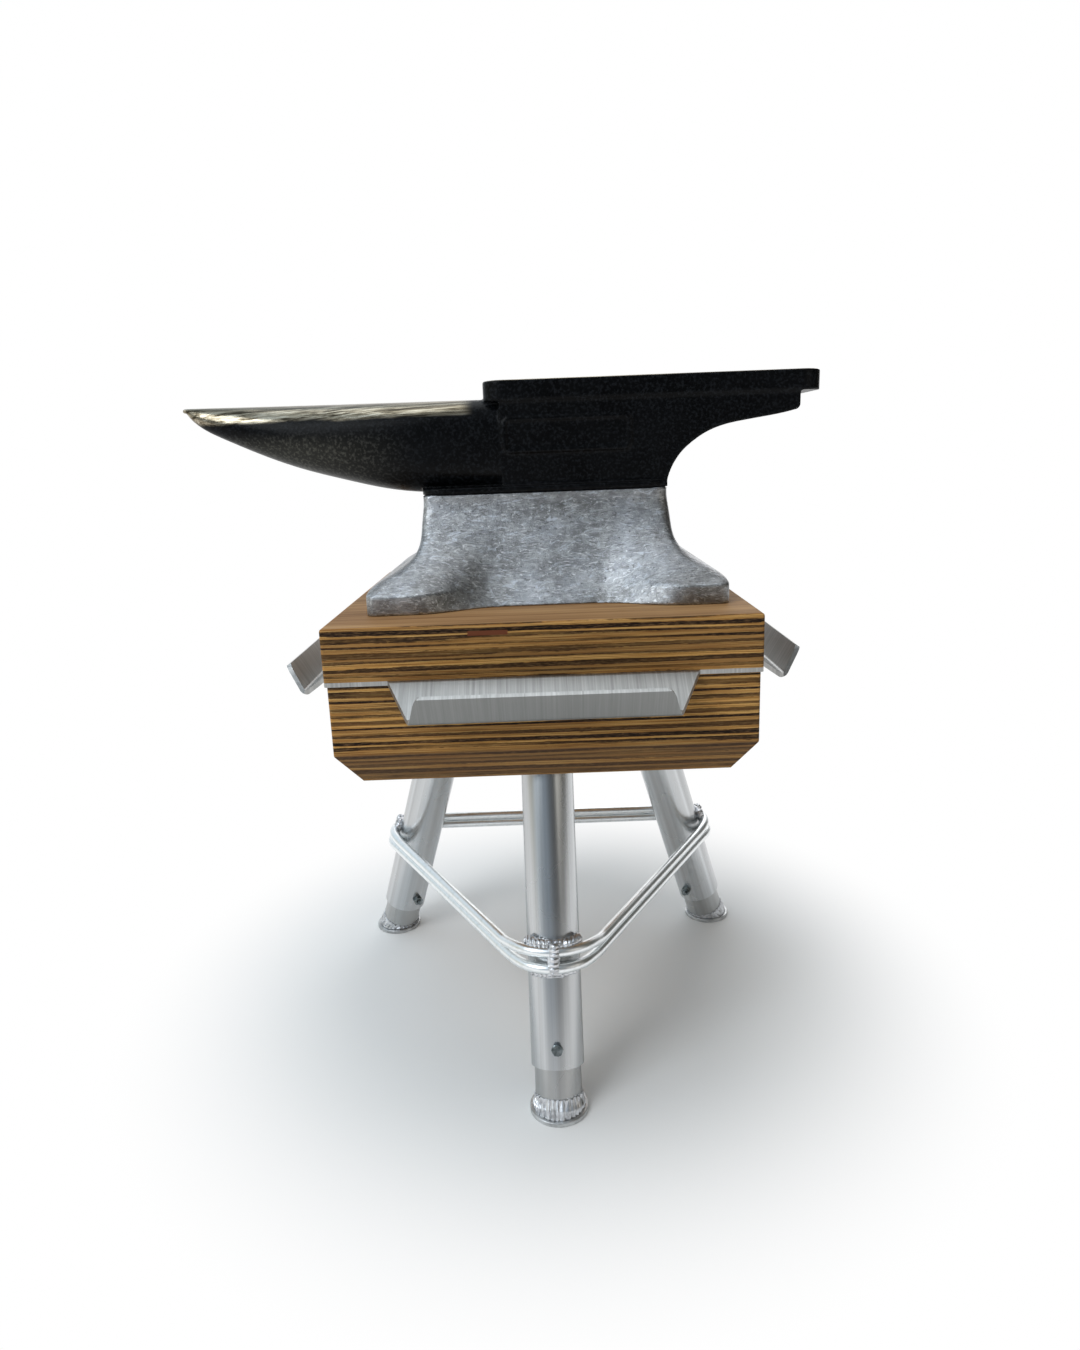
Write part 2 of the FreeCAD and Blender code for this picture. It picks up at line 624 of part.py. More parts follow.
# ================================================================ anvil
def base_outline(z):
    """Outline of the aluminium base at height z over the block."""
    rise = z / BASE_HEIGHT
    over_toe = max(z - FOOT_FACET, 0.0)
    share = over_toe / (BASE_HEIGHT - FOOT_FACET)
    flare = 0.93 * math.exp(-(over_toe / TOE_DOME) ** 2) + 0.07 * (1 - share)
    left = NECK_LEFT + (BASE_LEFT - NECK_LEFT) * flare
    right = NECK_RIGHT + (BASE_RIGHT - NECK_RIGHT) * flare
    corner_y = NECK_HALF + (BASE_HALF_WIDTH - NECK_HALF) * (1 - share) ** 2.1
    side_y = NECK_HALF - 0.5 * rise + (BASE_SIDE_HALF - NECK_HALF) * (1 - rise) ** 1.5
    side_y = min(side_y, corner_y - 0.4)
    ridge = RIDGE_AT_CREASE + (RIDGE_AT_NECK - RIDGE_AT_CREASE) * share
    if z < FOOT_FACET:
        ridge = RIDGE_AT_BLOCK + (RIDGE_AT_CREASE - RIDGE_AT_BLOCK) * z / FOOT_FACET
    ridge_left = NECK_LEFT + ridge
    ridge_right = NECK_RIGHT - ridge
    end_radius = 10.0 + (NECK_CORNER - 10.0) * share
    inner_radius = 5.0 + 22.0 * share
    # a quarter of the outline after the other, starting at the right end
    corners = [(right, -corner_y), (right, corner_y), (ridge_right, corner_y), (ridge_right - TOE_SIDE, side_y)]
    corners += [(ridge_left + TOE_SIDE, side_y), (ridge_left, corner_y), (left, corner_y), (left, -corner_y)]
    corners += [(ridge_left, -corner_y), (ridge_left + TOE_SIDE, -side_y)]
    corners += [(ridge_right - TOE_SIDE, -side_y), (ridge_right, -corner_y)]
    radii = [end_radius, end_radius, inner_radius, 38.0, 38.0, inner_radius] * 2
    points = []
    rounded = round_corners_even([V(x, y, BLOCK_TOP + z) for x, y in corners], radii, 5)
    for k, group in enumerate(rounded):
        points += group
        after = rounded[(k + 1) % len(rounded)][0]
        gap = after - group[-1]
        pieces = 5 if k in (0, 6) else 2
        for i in range(1, pieces):
            points.append(group[-1] + gap * (i / pieces))
    return points


def round_corners_even(points, radii, arc_points):
    """Like round_corners, but always arc_points per corner, so sections match one another."""
    groups = []
    count = len(points)
    for k in range(count):
        here = points[k]
        back = points[k - 1] - here
        ahead = points[(k + 1) % count] - here
        room = 0.42 * min(back.Length, ahead.Length)
        back = V(back).normalize()
        ahead = V(ahead).normalize()
        half = back.getAngle(ahead) / 2
        reach = radii[k] / math.tan(half)
        if half > math.radians(55):
            reach = max(reach, 0.7 * room)
        reach = min(reach, room)
        group = []
        for i in range(arc_points):
            share = i / (arc_points - 1)
            start = here + back * reach
            end = here + ahead * reach
            group.append(start * (1 - share) ** 2 + here * (2 * share * (1 - share)) + end * share ** 2)
        groups.append(group)
    return groups


def anvil_base():
    spacing = spacing_along(base_outline(FOOT_FACET + TOE_DOME))
    low = closed_spline(base_outline(0.0), spacing, 4)
    sections = []
    for share in (0.0, 0.06, 0.13, 0.21, 0.29, 0.38, 0.52, 0.74, 1.0):
        z = FOOT_FACET + (BASE_HEIGHT - FOOT_FACET) * share
        sections.append(closed_spline(base_outline(z), spacing, 4))
    feet = Part.makeLoft([low, sections[0]], True, True)
    column = Part.makeLoft(sections, True, False)
    body = feet.fuse(column)
    for p in hold_screw_places():
        body = body.cut(cylinder(p - UP, p + UP * 60, HOLD_SCREW_RADIUS + HOLE_PLAY))
        body = body.cut(cylinder(p + UP * HOLD_SCREW_SEAT, p + UP * 90, SPOT_FACE_RADIUS))
    for p in joining_bolt_places():
        body = body.cut(cylinder(p - UP, p + UP * (BASE_HEIGHT + 1), JOINING_BOLT_RADIUS + HOLE_PLAY))
        body = body.cut(cylinder(p - UP, p + UP * JOINING_BOLT_SEAT, JOINING_BOLT_HEX * 0.7))
    return body


def joining_bolt_places():
    middle = (NECK_LEFT + NECK_RIGHT) / 2
    return [V(middle + sign * JOINING_BOLT_PLACE, 0, BLOCK_TOP) for sign in (-1, 1)]


def joining_bolt(p):
    seat = p + UP * JOINING_BOLT_SEAT
    head = hex_head(seat, seat - UP * JOINING_BOLT_HEAD, JOINING_BOLT_HEX, V(1, 0, 0))
    tip = p + UP * (BASE_HEIGHT + JOINING_BOLT_GRIP)
    return head.fuse(cylinder(seat - UP, tip, JOINING_BOLT_RADIUS))


def horn_section(x, low, high, half, power):
    """Closed cross-section of the horn at x: round near the tip, boxy at the body."""
    middle = (low + high) / 2
    tall = (high - low) / 2
    points = []
    count = 20
    for k in range(count):
        angle = 2 * math.pi * (k + 0.5) / count
        c = math.cos(angle)
        s = math.sin(angle)
        y = half * math.copysign(abs(c) ** (2 / power), c)
        z = tall * math.copysign(abs(s) ** (2 / power), s)
        points.append(V(x, y, BLOCK_TOP + middle + z))
    return closed_spline(points, [k / count for k in range(count + 1)])


def anvil_horn():
    """Loft of the horn; its sizes follow from the tip's place and the body's size."""
    top_low = ANVIL_FACE - SLAB_THICKNESS + 3.5
    length = WEB_LEFT + 16 - HORN_TIP
    belly = [(0.0, 89.0), (0.05, 74.5), (0.14, 57.5), (0.235, 43.5), (0.31, 33.0), (0.405, 23.5),
             (0.53, 11.8), (0.61, 6.0), (0.70, 2.0), (0.80, 0.6), (1.0, 0.4)]
    sections = []
    for share in (0.012, 0.05, 0.12, 0.22, 0.34, 0.48, 0.62, 0.76, 0.88, 1.0):
        x = HORN_TIP + length * share
        high = top_low + 3.2 * (1 - share)
        low = BASE_HEIGHT + interpolate(belly, share)
        half = (high - low) / 2 * (0.96 + 0.22 * share)
        half = min(half, WEB_HALF - 1.0)
        if share < 0.02:
            low = high - 5.0
            half = 2.4
        power = 2.0 + 2.2 * max(0.0, share - 0.35) / 0.65
        sections.append(horn_section(x, low, high, half, power))
    horn = Part.makeLoft(sections, True, False)
    tip_height = BLOCK_TOP + top_low + 3.2 - 2.5
    tip = Part.makeSphere(2.35, V(HORN_TIP + 2.4, 0, tip_height))
    seat = BLOCK_TOP + BASE_HEIGHT
    below_seat = box((HORN_TIP, -2 * WEB_HALF, BLOCK_TOP), (0, 2 * WEB_HALF, seat))
    return horn.cut(below_seat).fuse(tip)


def anvil_web():
    """Body and heel: a side profile pulled through, with the heel's hollow underside."""
    slab_low = ANVIL_FACE - SLAB_THICKNESS
    curve = [(NECK_RIGHT, LIP_BAND + 0.5), (136.3, 23.8), (143.5, 33.3), (153.2, 41.8), (168.0, 51.0),
             (185.0, 57.0), (204.2, 60.5), (224.0, 63.2), (245.0, 66.6)]
    points = [V(x, 0, BLOCK_TOP + BASE_HEIGHT + z) for x, z in curve]
    spline = Part.BSplineCurve()
    spline.interpolate(points)
    end_low = BLOCK_TOP + BASE_HEIGHT + 69.0
    left_low = V(WEB_LEFT, 0, BLOCK_TOP + BASE_HEIGHT)
    right_low = V(NECK_RIGHT, 0, BLOCK_TOP + BASE_HEIGHT)
    heel_low = V(HEEL_END - 2.5, 0, end_low)
    heel_side = V(HEEL_END, 0, end_low + 3.0)
    heel_high = V(HEEL_END, 0, BLOCK_TOP + slab_low + 1)
    left_high = V(WEB_LEFT, 0, BLOCK_TOP + slab_low + 1)
    edges = [Part.makeLine(left_low, right_low), Part.makeLine(right_low, points[0]), spline.toShape(),
             Part.makeLine(points[-1], heel_low), Part.makeLine(heel_low, heel_side),
             Part.makeLine(heel_side, heel_high), Part.makeLine(heel_high, left_high),
             Part.makeLine(left_high, left_low)]
    face = Part.Face(Part.Wire(edges))
    face.translate(V(0, -WEB_HALF, 0))
    return face.extrude(V(0, 2 * WEB_HALF, 0))


def anvil_panel():
    """Bare raised panel with a rim on the front of the body."""
    back = -WEB_HALF + 1.0
    centre_x = (PANEL_LEFT + PANEL_RIGHT) / 2
    centre_z = BLOCK_TOP + (PANEL_LOW + PANEL_HIGH) / 2
    half_x = (PANEL_RIGHT - PANEL_LEFT) / 2
    half_z = (PANEL_HIGH - PANEL_LOW) / 2
    outer = Part.Face(rounded_rectangle(half_x, half_z, 7.0, 0.0)).extrude(UP * (1.0 + PANEL_RAISE))
    inner = Part.Face(rounded_rectangle(half_x - PANEL_RIM, half_z - PANEL_RIM, 4.5, 1.5)).extrude(UP * 9)
    panel = outer.cut(inner)
    panel.rotate(V(0, 0, 0), V(1, 0, 0), 90)
    panel.translate(V(centre_x, back, centre_z))
    return panel


def anvil_top():
    low = BLOCK_TOP + BASE_HEIGHT
    slab_low = BLOCK_TOP + ANVIL_FACE - SLAB_THICKNESS
    half_length = (NECK_RIGHT - NECK_LEFT) / 2 + LIP_BAND_OVER
    middle = (NECK_RIGHT + NECK_LEFT) / 2
    band_wire = rounded_rectangle(half_length, NECK_HALF + LIP_BAND_OVER, NECK_CORNER, low, middle)
    band = Part.Face(band_wire).extrude(UP * LIP_BAND)
    slab_half = (SLAB_RIGHT - SLAB_LEFT) / 2
    slab_middle = (SLAB_RIGHT + SLAB_LEFT) / 2
    slab_wire = rounded_rectangle(slab_half, SLAB_HALF, SLAB_CORNER, slab_low, slab_middle)
    slab = Part.Face(slab_wire).extrude(UP * SLAB_THICKNESS)
    rim = [e for e in slab.Edges if min(v.Z for v in e.Vertexes) > slab_low + SLAB_THICKNESS - 0.01]
    slab = slab.makeFillet(1.5, rim)
    body = anvil_web().fuse(anvil_horn()).fuse(band).fuse(slab).fuse(anvil_panel())
    half = HARDY_SIDE / 2
    body = body.cut(box((HARDY_X - half, -half, low), (HARDY_X + half, half, low + 200)))
    pritchel = V(PRITCHEL_X, PRITCHEL_Y, low)
    body = body.cut(cylinder(pritchel, pritchel + UP * 200, PRITCHEL_RADIUS))
    for p in joining_bolt_places():
        depth = BASE_HEIGHT + JOINING_BOLT_GRIP + 4
        body = body.cut(cylinder(p, p + UP * depth, JOINING_BOLT_RADIUS))
    return body


def hold_screw(p):
    seat = p + UP * HOLD_SCREW_SEAT
    head = hex_head(seat, seat + UP * HOLD_SCREW_HEAD, HOLD_SCREW_HEX, V(1, 0, 0))
    return head.fuse(cylinder(p - UP * HOLD_SCREW_DEPTH, seat + UP, HOLD_SCREW_RADIUS))


# ================================================================ assembly
legs = {name: Leg(name, azimuth) for name, azimuth in LEG_AZIMUTHS.items()}
nodes = {}

top_board = board(BOARD_WIDTH, PLATE_TOP, BLOCK_TOP, True)
middle_board = board(LOWER_WIDTH, BOTTOM_BOARD_TOP, PLATE_UNDERSIDE, False)
bottom_board = board(LOWER_WIDTH, BLOCK_UNDERSIDE, BOTTOM_BOARD_TOP, False)
bottom_board = bottom_board.common(bevelled_foot(LOWER_WIDTH, BLOCK_UNDERSIDE))
for leg in legs.values():
    core = leg_core(leg, TUBE_RADIUS + BORE_PLAY, BLOCK_UNDERSIDE - 60, PLATE_UNDERSIDE + 60)
    middle_board = middle_board.cut(core).cut(weld_room(leg))
    bottom_board = bottom_board.cut(core)
screw_top = BLOCK_TOP - SCREW_COVER
for hole in screw_room(SCREW_RADIUS, BLOCK_UNDERSIDE - 1, screw_top):
    middle_board = middle_board.cut(hole)
    bottom_board = bottom_board.cut(hole)
    top_board = top_board.cut(hole)
for p in hold_screw_places():
    top_board = top_board.cut(cylinder(p - UP * HOLD_SCREW_DEPTH, p + UP, HOLD_SCREW_RADIUS))
for recess in screw_room(RECESS_RADIUS, BLOCK_UNDERSIDE - 1, BLOCK_UNDERSIDE + SCREW_RECESS):
    bottom_board = bottom_board.cut(recess)
nodes["top_board"] = top_board
nodes["middle_board"] = middle_board
nodes["bottom_board"] = bottom_board
nodes["tray_plate"] = tray_plate()

for name, leg in legs.items():
    nodes["leg_tube_" + name] = outer_tube(leg)
    nodes["inner_tube_" + name] = inner_tube(leg)
    nodes["foot_disc_" + name] = foot_disc(leg)
    nodes["foot_weld_" + name] = foot_weld(leg)
nodes["leg_top_welds"] = Part.makeCompound([plate_weld(leg) for leg in legs.values()])
nodes["lock_bolts"] = Part.makeCompound([lock_bolt(leg) for leg in legs.values()])
nodes["lock_nuts"] = Part.makeCompound([lock_nut(leg) for leg in legs.values()])

upper_rod, upper_heights = ring_rod(legs.values(), 1)
lower_rod, lower_heights = ring_rod(legs.values(), -1)
nodes["ring_rod_upper"] = upper_rod
nodes["ring_rod_lower"] = lower_rod
beads = []
for leg in legs.values():
    beads += ring_weld(leg, (upper_rod, lower_rod), upper_heights[leg.name], lower_heights[leg.name])
nodes["ring_welds"] = Part.makeCompound(beads)

screws = []
washers = []
for p in screw_places():
    face = p + UP * (BLOCK_UNDERSIDE + SCREW_RECESS)
    seat = face - UP * WASHER_THICKNESS
    head = hex_head(seat, seat - UP * SCREW_HEAD_HEIGHT, SCREW_HEX, V(1, 0, 0))
    screws.append(head.fuse(cylinder(seat - UP, p + UP * screw_top, SCREW_RADIUS)))
    washer = cylinder(seat, face, WASHER_RADIUS)
    washers.append(washer.cut(cylinder(seat - UP, face + UP, SCREW_RADIUS + HOLE_PLAY)))
nodes["block_screws"] = Part.makeCompound(screws)
nodes["block_washers"] = Part.makeCompound(washers)

nodes["anvil_base"] = anvil_base()
nodes["anvil_top"] = anvil_top()
nodes["anvil_joining_bolts"] = Part.makeCompound([joining_bolt(p) for p in joining_bolt_places()])
nodes["anvil_hold_down_screws"] = Part.makeCompound([hold_screw(p) for p in hold_screw_places()])

for name, shape in nodes.items():
    shape.translate(V(SHIFT_X, SHIFT_Y, 0))
    solids = shape.Solids
    if len(solids) == 1:
        shape = solids[0]
    bounds = shape.BoundBox
    print("%-24s solids %2d valid %s volume %10.0f x %.1f..%.1f y %.1f..%.1f z %.1f..%.1f" % (
        name, len(solids), shape.isValid(), shape.Volume,
        bounds.XMin, bounds.XMax, bounds.YMin, bounds.YMax, bounds.ZMin, bounds.ZMax))
    shape.exportStep("parts/" + name + ".step")
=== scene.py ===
import json
import math

import bmesh
import bpy
from mathutils import Matrix, Vector, noise

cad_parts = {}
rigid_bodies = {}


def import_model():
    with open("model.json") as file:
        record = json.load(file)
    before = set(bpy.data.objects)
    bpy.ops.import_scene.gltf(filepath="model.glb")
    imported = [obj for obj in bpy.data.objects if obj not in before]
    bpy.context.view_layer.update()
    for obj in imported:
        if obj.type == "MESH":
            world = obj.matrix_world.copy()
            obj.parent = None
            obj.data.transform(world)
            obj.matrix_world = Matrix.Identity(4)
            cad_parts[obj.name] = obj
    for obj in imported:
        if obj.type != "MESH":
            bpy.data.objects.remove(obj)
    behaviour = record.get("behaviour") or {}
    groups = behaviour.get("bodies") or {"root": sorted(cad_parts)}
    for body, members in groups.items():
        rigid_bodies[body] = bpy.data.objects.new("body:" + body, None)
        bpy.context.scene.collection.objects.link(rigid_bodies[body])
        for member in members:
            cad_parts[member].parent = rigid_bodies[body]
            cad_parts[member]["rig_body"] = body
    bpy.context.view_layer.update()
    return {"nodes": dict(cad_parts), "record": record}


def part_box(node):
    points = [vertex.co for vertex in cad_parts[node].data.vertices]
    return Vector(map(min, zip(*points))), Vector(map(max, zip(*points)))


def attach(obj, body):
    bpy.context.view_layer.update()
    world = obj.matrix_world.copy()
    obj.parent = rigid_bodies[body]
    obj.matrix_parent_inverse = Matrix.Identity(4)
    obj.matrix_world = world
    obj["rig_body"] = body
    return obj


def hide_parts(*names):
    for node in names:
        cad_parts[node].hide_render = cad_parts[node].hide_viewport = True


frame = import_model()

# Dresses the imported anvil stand: procedural materials, finer copies of most CAD pieces, a pale studio and
# the camera. Lengths are in metres.

MM = 0.001
NODES = frame["nodes"]
SLOT_OF = {entry["node"]: entry["material_slot"] for entry in frame["record"]["subparts"]}
LEG_NAMES = ("front", "left", "right")

# ------------------------------------------------------------------ places taken from the frame
TOP_LOW, TOP_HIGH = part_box("top_board")
BOTTOM_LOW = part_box("bottom_board")[0]
ANVIL_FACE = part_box("anvil_top")[1].z
AXIS = (TOP_LOW + TOP_HIGH) / 2            # the stand's upright axis, used for x and y
BLOCK_TOP = TOP_HIGH.z
BETWEEN_BOARDS = TOP_LOW.z - 2 * MM        # a height inside the tray plate, just under the top board
PLIES = 15                                 # in each board
PLY = (TOP_HIGH.z - TOP_LOW.z) / PLIES
LEG_TILT = math.radians(18.6)


def foot_centre(name):
    low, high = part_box("foot_disc_" + name)
    return Vector(((low.x + high.x) / 2, (low.y + high.y) / 2, 0.0))


def leg_matrix(name):
    """Frame of one leg: origin at its foot, Z up along the tube, X outwards from the stand."""
    foot = foot_centre(name)
    out = Vector((foot.x - AXIS.x, foot.y - AXIS.y, 0)).normalized()
    up = Vector((0, 0, math.cos(LEG_TILT))) - out * math.sin(LEG_TILT)
    side = up.cross(out).normalized()
    face = side.cross(up)
    rows = Matrix((face, side, up)).transposed().to_4x4()
    rows.translation = foot
    return rows


LEGS = {name: leg_matrix(name) for name in LEG_NAMES}


# ------------------------------------------------------------------ writing of materials
class Tree:
    """Writes the node tree of a material or of the world."""

    def __init__(self, owner, output, coords="Object"):
        owner.use_nodes = True
        self.tree = owner.node_tree
        self.tree.nodes.clear()
        self.out = self.node(output)
        self.coords = self.node("ShaderNodeTexCoord").outputs[coords]

    def node(self, kind, inputs=None, **settings):
        """A new node with its settings and with what goes into its inputs."""
        node = self.tree.nodes.new(kind)
        for name, value in settings.items():
            setattr(node, name, value)
        for key, value in (inputs or {}).items():
            self.put(node.inputs[key], value)
        return node

    def put(self, socket, value):
        """Links an input to another node's output, or sets its number, vector or colour."""
        if isinstance(value, bpy.types.NodeSocket):
            self.tree.links.new(value, socket)
        else:
            socket.default_value = value

    def math(self, operation, a, b=0.0):
        return self.node("ShaderNodeMath", {0: a, 1: b}, operation=operation).outputs[0]

    def plus(self, a, b):
        return self.math("ADD", a, b)

    def minus(self, a, b):
        return self.math("SUBTRACT", a, b)

    def times(self, a, b):
        return self.math("MULTIPLY", a, b)

    def weigh(self, a, b, share):
        """A share of a and the rest of b."""
        return self.plus(self.times(a, share), self.times(b, 1 - share))

    def uneven(self, base, pattern, share):
        """The base and a share of the pattern on top of it."""
        return self.plus(base, self.times(pattern, share))

    def split(self, vector):
        return self.node("ShaderNodeSeparateXYZ", {0: vector}).outputs

    def join(self, x, y, z):
        return self.node("ShaderNodeCombineXYZ", {0: x, 1: y, 2: z}).outputs[0]

    def noise(self, scale, detail=3.0, rough=0.5, warp=0.0, vector=None):
        inputs = {"Vector": self.coords if vector is None else vector, "Scale": scale, "Detail": detail,
                  "Roughness": rough, "Distortion": warp}
        return self.node("ShaderNodeTexNoise", inputs).outputs[0]

    def grain(self, scales, detail=3.0, rough=0.5, warp=0.0, turn=(0, 0, 0)):
        """Noise with a scale of its own along each axis, and turned where it runs at a slant."""
        stretched = self.node("ShaderNodeMapping", {"Vector": self.coords, "Scale": scales, "Rotation": turn})
        return self.noise(1.0, detail, rough, warp, stretched.outputs[0])

    def wander(self, value, reach, scales, detail=3.0, rough=0.5):
        """The value, moved up and down by stretched noise."""
        return self.plus(value, self.times(self.minus(self.grain(scales, detail, rough), 0.5), reach))

    def cells(self, scale):
        """Distance to the nearest of many scattered points."""
        return self.node("ShaderNodeTexVoronoi", {"Vector": self.coords, "Scale": scale}).outputs["Distance"]

    def random(self, value):
        return self.node("ShaderNodeTexWhiteNoise", {"W": value}, noise_dimensions="1D").outputs["Value"]

    def ramp(self, value, tones):
        """A colour for the value; the tones are places on the ramp and their colours."""
        node = self.node("ShaderNodeValToRGB", {0: value})
        elements = node.color_ramp.elements
        while len(elements) < len(tones):
            elements.new(0.5)
        for element, (place, colour) in zip(elements, tones):
            element.position = place
            element.color = (*colour, 1)
        return node.outputs[0]

    def fade(self, value, across, to=(0.0, 1.0), shape="SMOOTHSTEP"):
        """Goes from the first to the second number of `to` while the value goes across a stretch."""
        inputs = {0: value, 1: across[0], 2: across[1], 3: to[0], 4: to[1]}
        return self.node("ShaderNodeMapRange", inputs, interpolation_type=shape).outputs[0]

    def mix(self, share, a, b, blend="MIX"):
        """The colour or vector a with a share of b."""
        node = self.node("ShaderNodeMix", data_type="RGBA", blend_type=blend)
        self.put(node.inputs["Factor"], share)
        sockets = [socket for socket in node.inputs if socket.type == "RGBA"]
        for socket, value in zip(sockets, (a, b)):
            self.put(socket, (*value, 1) if isinstance(value, tuple) else value)
        return next(socket for socket in node.outputs if socket.type == "RGBA")

    def stain(self, colour, other, pattern, across, most=1.0):
        """Lays another colour over this one where the pattern is high, up to the given share."""
        return self.mix(self.fade(pattern, across, to=(0.0, most)), colour, other)

    def choose(self, test, first, second):
        """The first number where the test is 0, the second where it is 1."""
        mixed = self.mix(test, self.join(first, first, first), self.join(second, second, second))
        return self.split(mixed)[0]

    def bump(self, height, strength, distance, normal=None):
        inputs = {"Strength": strength, "Distance": distance, "Height": height}
        if normal is not None:
            inputs["Normal"] = normal
        return self.node("ShaderNodeBump", inputs).outputs[0]

    def glow(self, kind, colour):
        """An emission or a background at strength 1."""
        return self.node(kind, {0: colour, 1: 1.0}).outputs[0]

    def seen_directly(self):
        """1 for rays from the camera, a mirror or glass, 0 for soft light."""
        path = self.node("ShaderNodeLightPath")
        total = path.outputs["Is Camera Ray"]
        for kind in ("Is Glossy Ray", "Is Transmission Ray"):
            total = self.math("MAXIMUM", total, path.outputs[kind])
        return total

    def show(self, share, first, second):
        """Gives out the first shader with a share of the second."""
        mixed = self.node("ShaderNodeMixShader", {0: share, 1: first, 2: second})
        self.put(self.out.inputs[0], mixed.outputs[0])


class Graph(Tree):
    """Writes one of the part's own materials, on a principled shader."""

    def __init__(self, name):
        self.material = bpy.data.materials.new(name)
        super().__init__(self.material, "ShaderNodeOutputMaterial")
        self.shader = self.node("ShaderNodeBsdfPrincipled")
        self.put(self.out.inputs[0], self.shader.outputs[0])

    def upward(self):
        """How far a face looks up: 1 on a top, 0 on a side, -1 on an underside."""
        return self.split(self.node("ShaderNodeNewGeometry").outputs["True Normal"])[2]

    def finish(self, **sockets):
        for name, value in sockets.items():
            self.put(self.shader.inputs[name.replace("_", " ")], value)
        return self.material


# ------------------------------------------------------------------ plywood
PALE_PLY_TONES = [(0.34, (0.25, 0.1, 0.025)), (0.48, (0.55, 0.265, 0.07)), (0.62, (0.86, 0.52, 0.18))]
DARK_PLY_TONES = [(0.42, (0.007, 0.004, 0.002)), (0.5, (0.034, 0.017, 0.008)), (0.6, (0.15, 0.085, 0.04))]
VENEER_TONES = [(0.32, (0.19, 0.09, 0.033)), (0.5, (0.37, 0.2, 0.085)), (0.68, (0.54, 0.32, 0.145))]
BROWN_PLY = (0.2, 0.092, 0.033)
WOOD_THREAD = (0.06, 0.028, 0.011)
GLUE = (0.022, 0.011, 0.007)
KNOT = (0.018, 0.01, 0.007)
BEVEL_WOOD = (0.11, 0.062, 0.034)
PLUG_DARK = (0.1, 0.028, 0.012)
PLUG_PALE = (0.27, 0.085, 0.04)
PLUG_X = AXIS.x - 47 * MM
PLUG_Z = BLOCK_TOP - 8.2 * MM
PLUG_HALF_LENGTH = (16.5 * MM, 18.5 * MM)   # where its soft edge begins and ends
PLUG_HALF_HEIGHT = (1.8 * MM, 2.3 * MM)
# how the plies wander: reach, scales of the noise along X, Y and Z, its detail and its roughness
PLY_WANDER = (
    (7.5 * MM, (1.5, 1.5, 170), 1, 0.5),
    (3.2 * MM, (9, 9, 90), 3, 0.55),
    (1.5 * MM, (45, 45, 900), 4, 0.6),
)
OTHER_DICE = 40.5                           # added to a ply's number, to draw another random share for it


def ply_count(wood, z):
    """How many plies lie below a height. They are uneven and wander a little along the board."""
    upper = wood.math("GREATER_THAN", z, BETWEEN_BOARDS)
    foot = wood.plus(BOTTOM_LOW.z, wood.times(upper, TOP_LOW.z - BOTTOM_LOW.z))
    height = wood.minus(z, foot)
    for wander in PLY_WANDER:
        height = wood.wander(height, *wander)
    return wood.math("DIVIDE", height, PLY)


def ply_colour(wood, count, index, odd, streak):
    """Colour of the boards' edges: pale and dark plies in turn, glue lines and knots."""
    dice = wood.random(index)
    other_dice = wood.random(wood.plus(index, OTHER_DICE))
    pores = wood.grain((170, 170, 1300), detail=4, rough=0.62)
    patch = wood.grain((9, 9, 60), detail=3, rough=0.55)
    threads = wood.grain((5, 5, 2300), detail=5, rough=0.7)
    knots = wood.grain((48, 48, 260), detail=2)
    pale = wood.ramp(streak, PALE_PLY_TONES)
    pale = wood.stain(pale, BROWN_PLY, wood.weigh(dice, patch, share=0.5), across=(0.3, 0.75), most=0.6)
    pale = wood.stain(pale, WOOD_THREAD, threads, across=(0.53, 0.6), most=0.85)
    dark = wood.ramp(wood.weigh(streak, pores, share=0.45), DARK_PLY_TONES)
    # the dark plies fade out here and there, so the striping is never quite regular
    share = wood.times(odd, wood.fade(wood.weigh(patch, dice, share=0.7), (0.3, 0.55), to=(0.45, 1.0)))
    share = wood.times(share, wood.fade(other_dice, (0.1, 0.4), to=(0.6, 1.0)))
    colour = wood.mix(share, pale, dark)
    part = wood.math("FRACT", count)
    joint = wood.math("MINIMUM", part, wood.minus(1.0, part))
    glue = wood.fade(joint, (0.02, 0.16), to=(0.75, 0.0))
    colour = wood.mix(wood.times(glue, wood.fade(pores, (0.4, 0.6))), colour, GLUE)
    return wood.stain(colour, KNOT, knots, across=(0.735, 0.765))


def repair_plug(wood, x, y, z):
    """1 on one repair plug in the top board's front edge, 0 elsewhere."""
    aside = wood.math("ABSOLUTE", wood.minus(x, PLUG_X))
    above = wood.math("ABSOLUTE", wood.minus(z, PLUG_Z))
    length = wood.fade(aside, PLUG_HALF_LENGTH, to=(1.0, 0.0))
    height = wood.fade(above, PLUG_HALF_HEIGHT, to=(1.0, 0.0))
    return wood.times(wood.times(length, height), wood.math("LESS_THAN", y, AXIS.y))


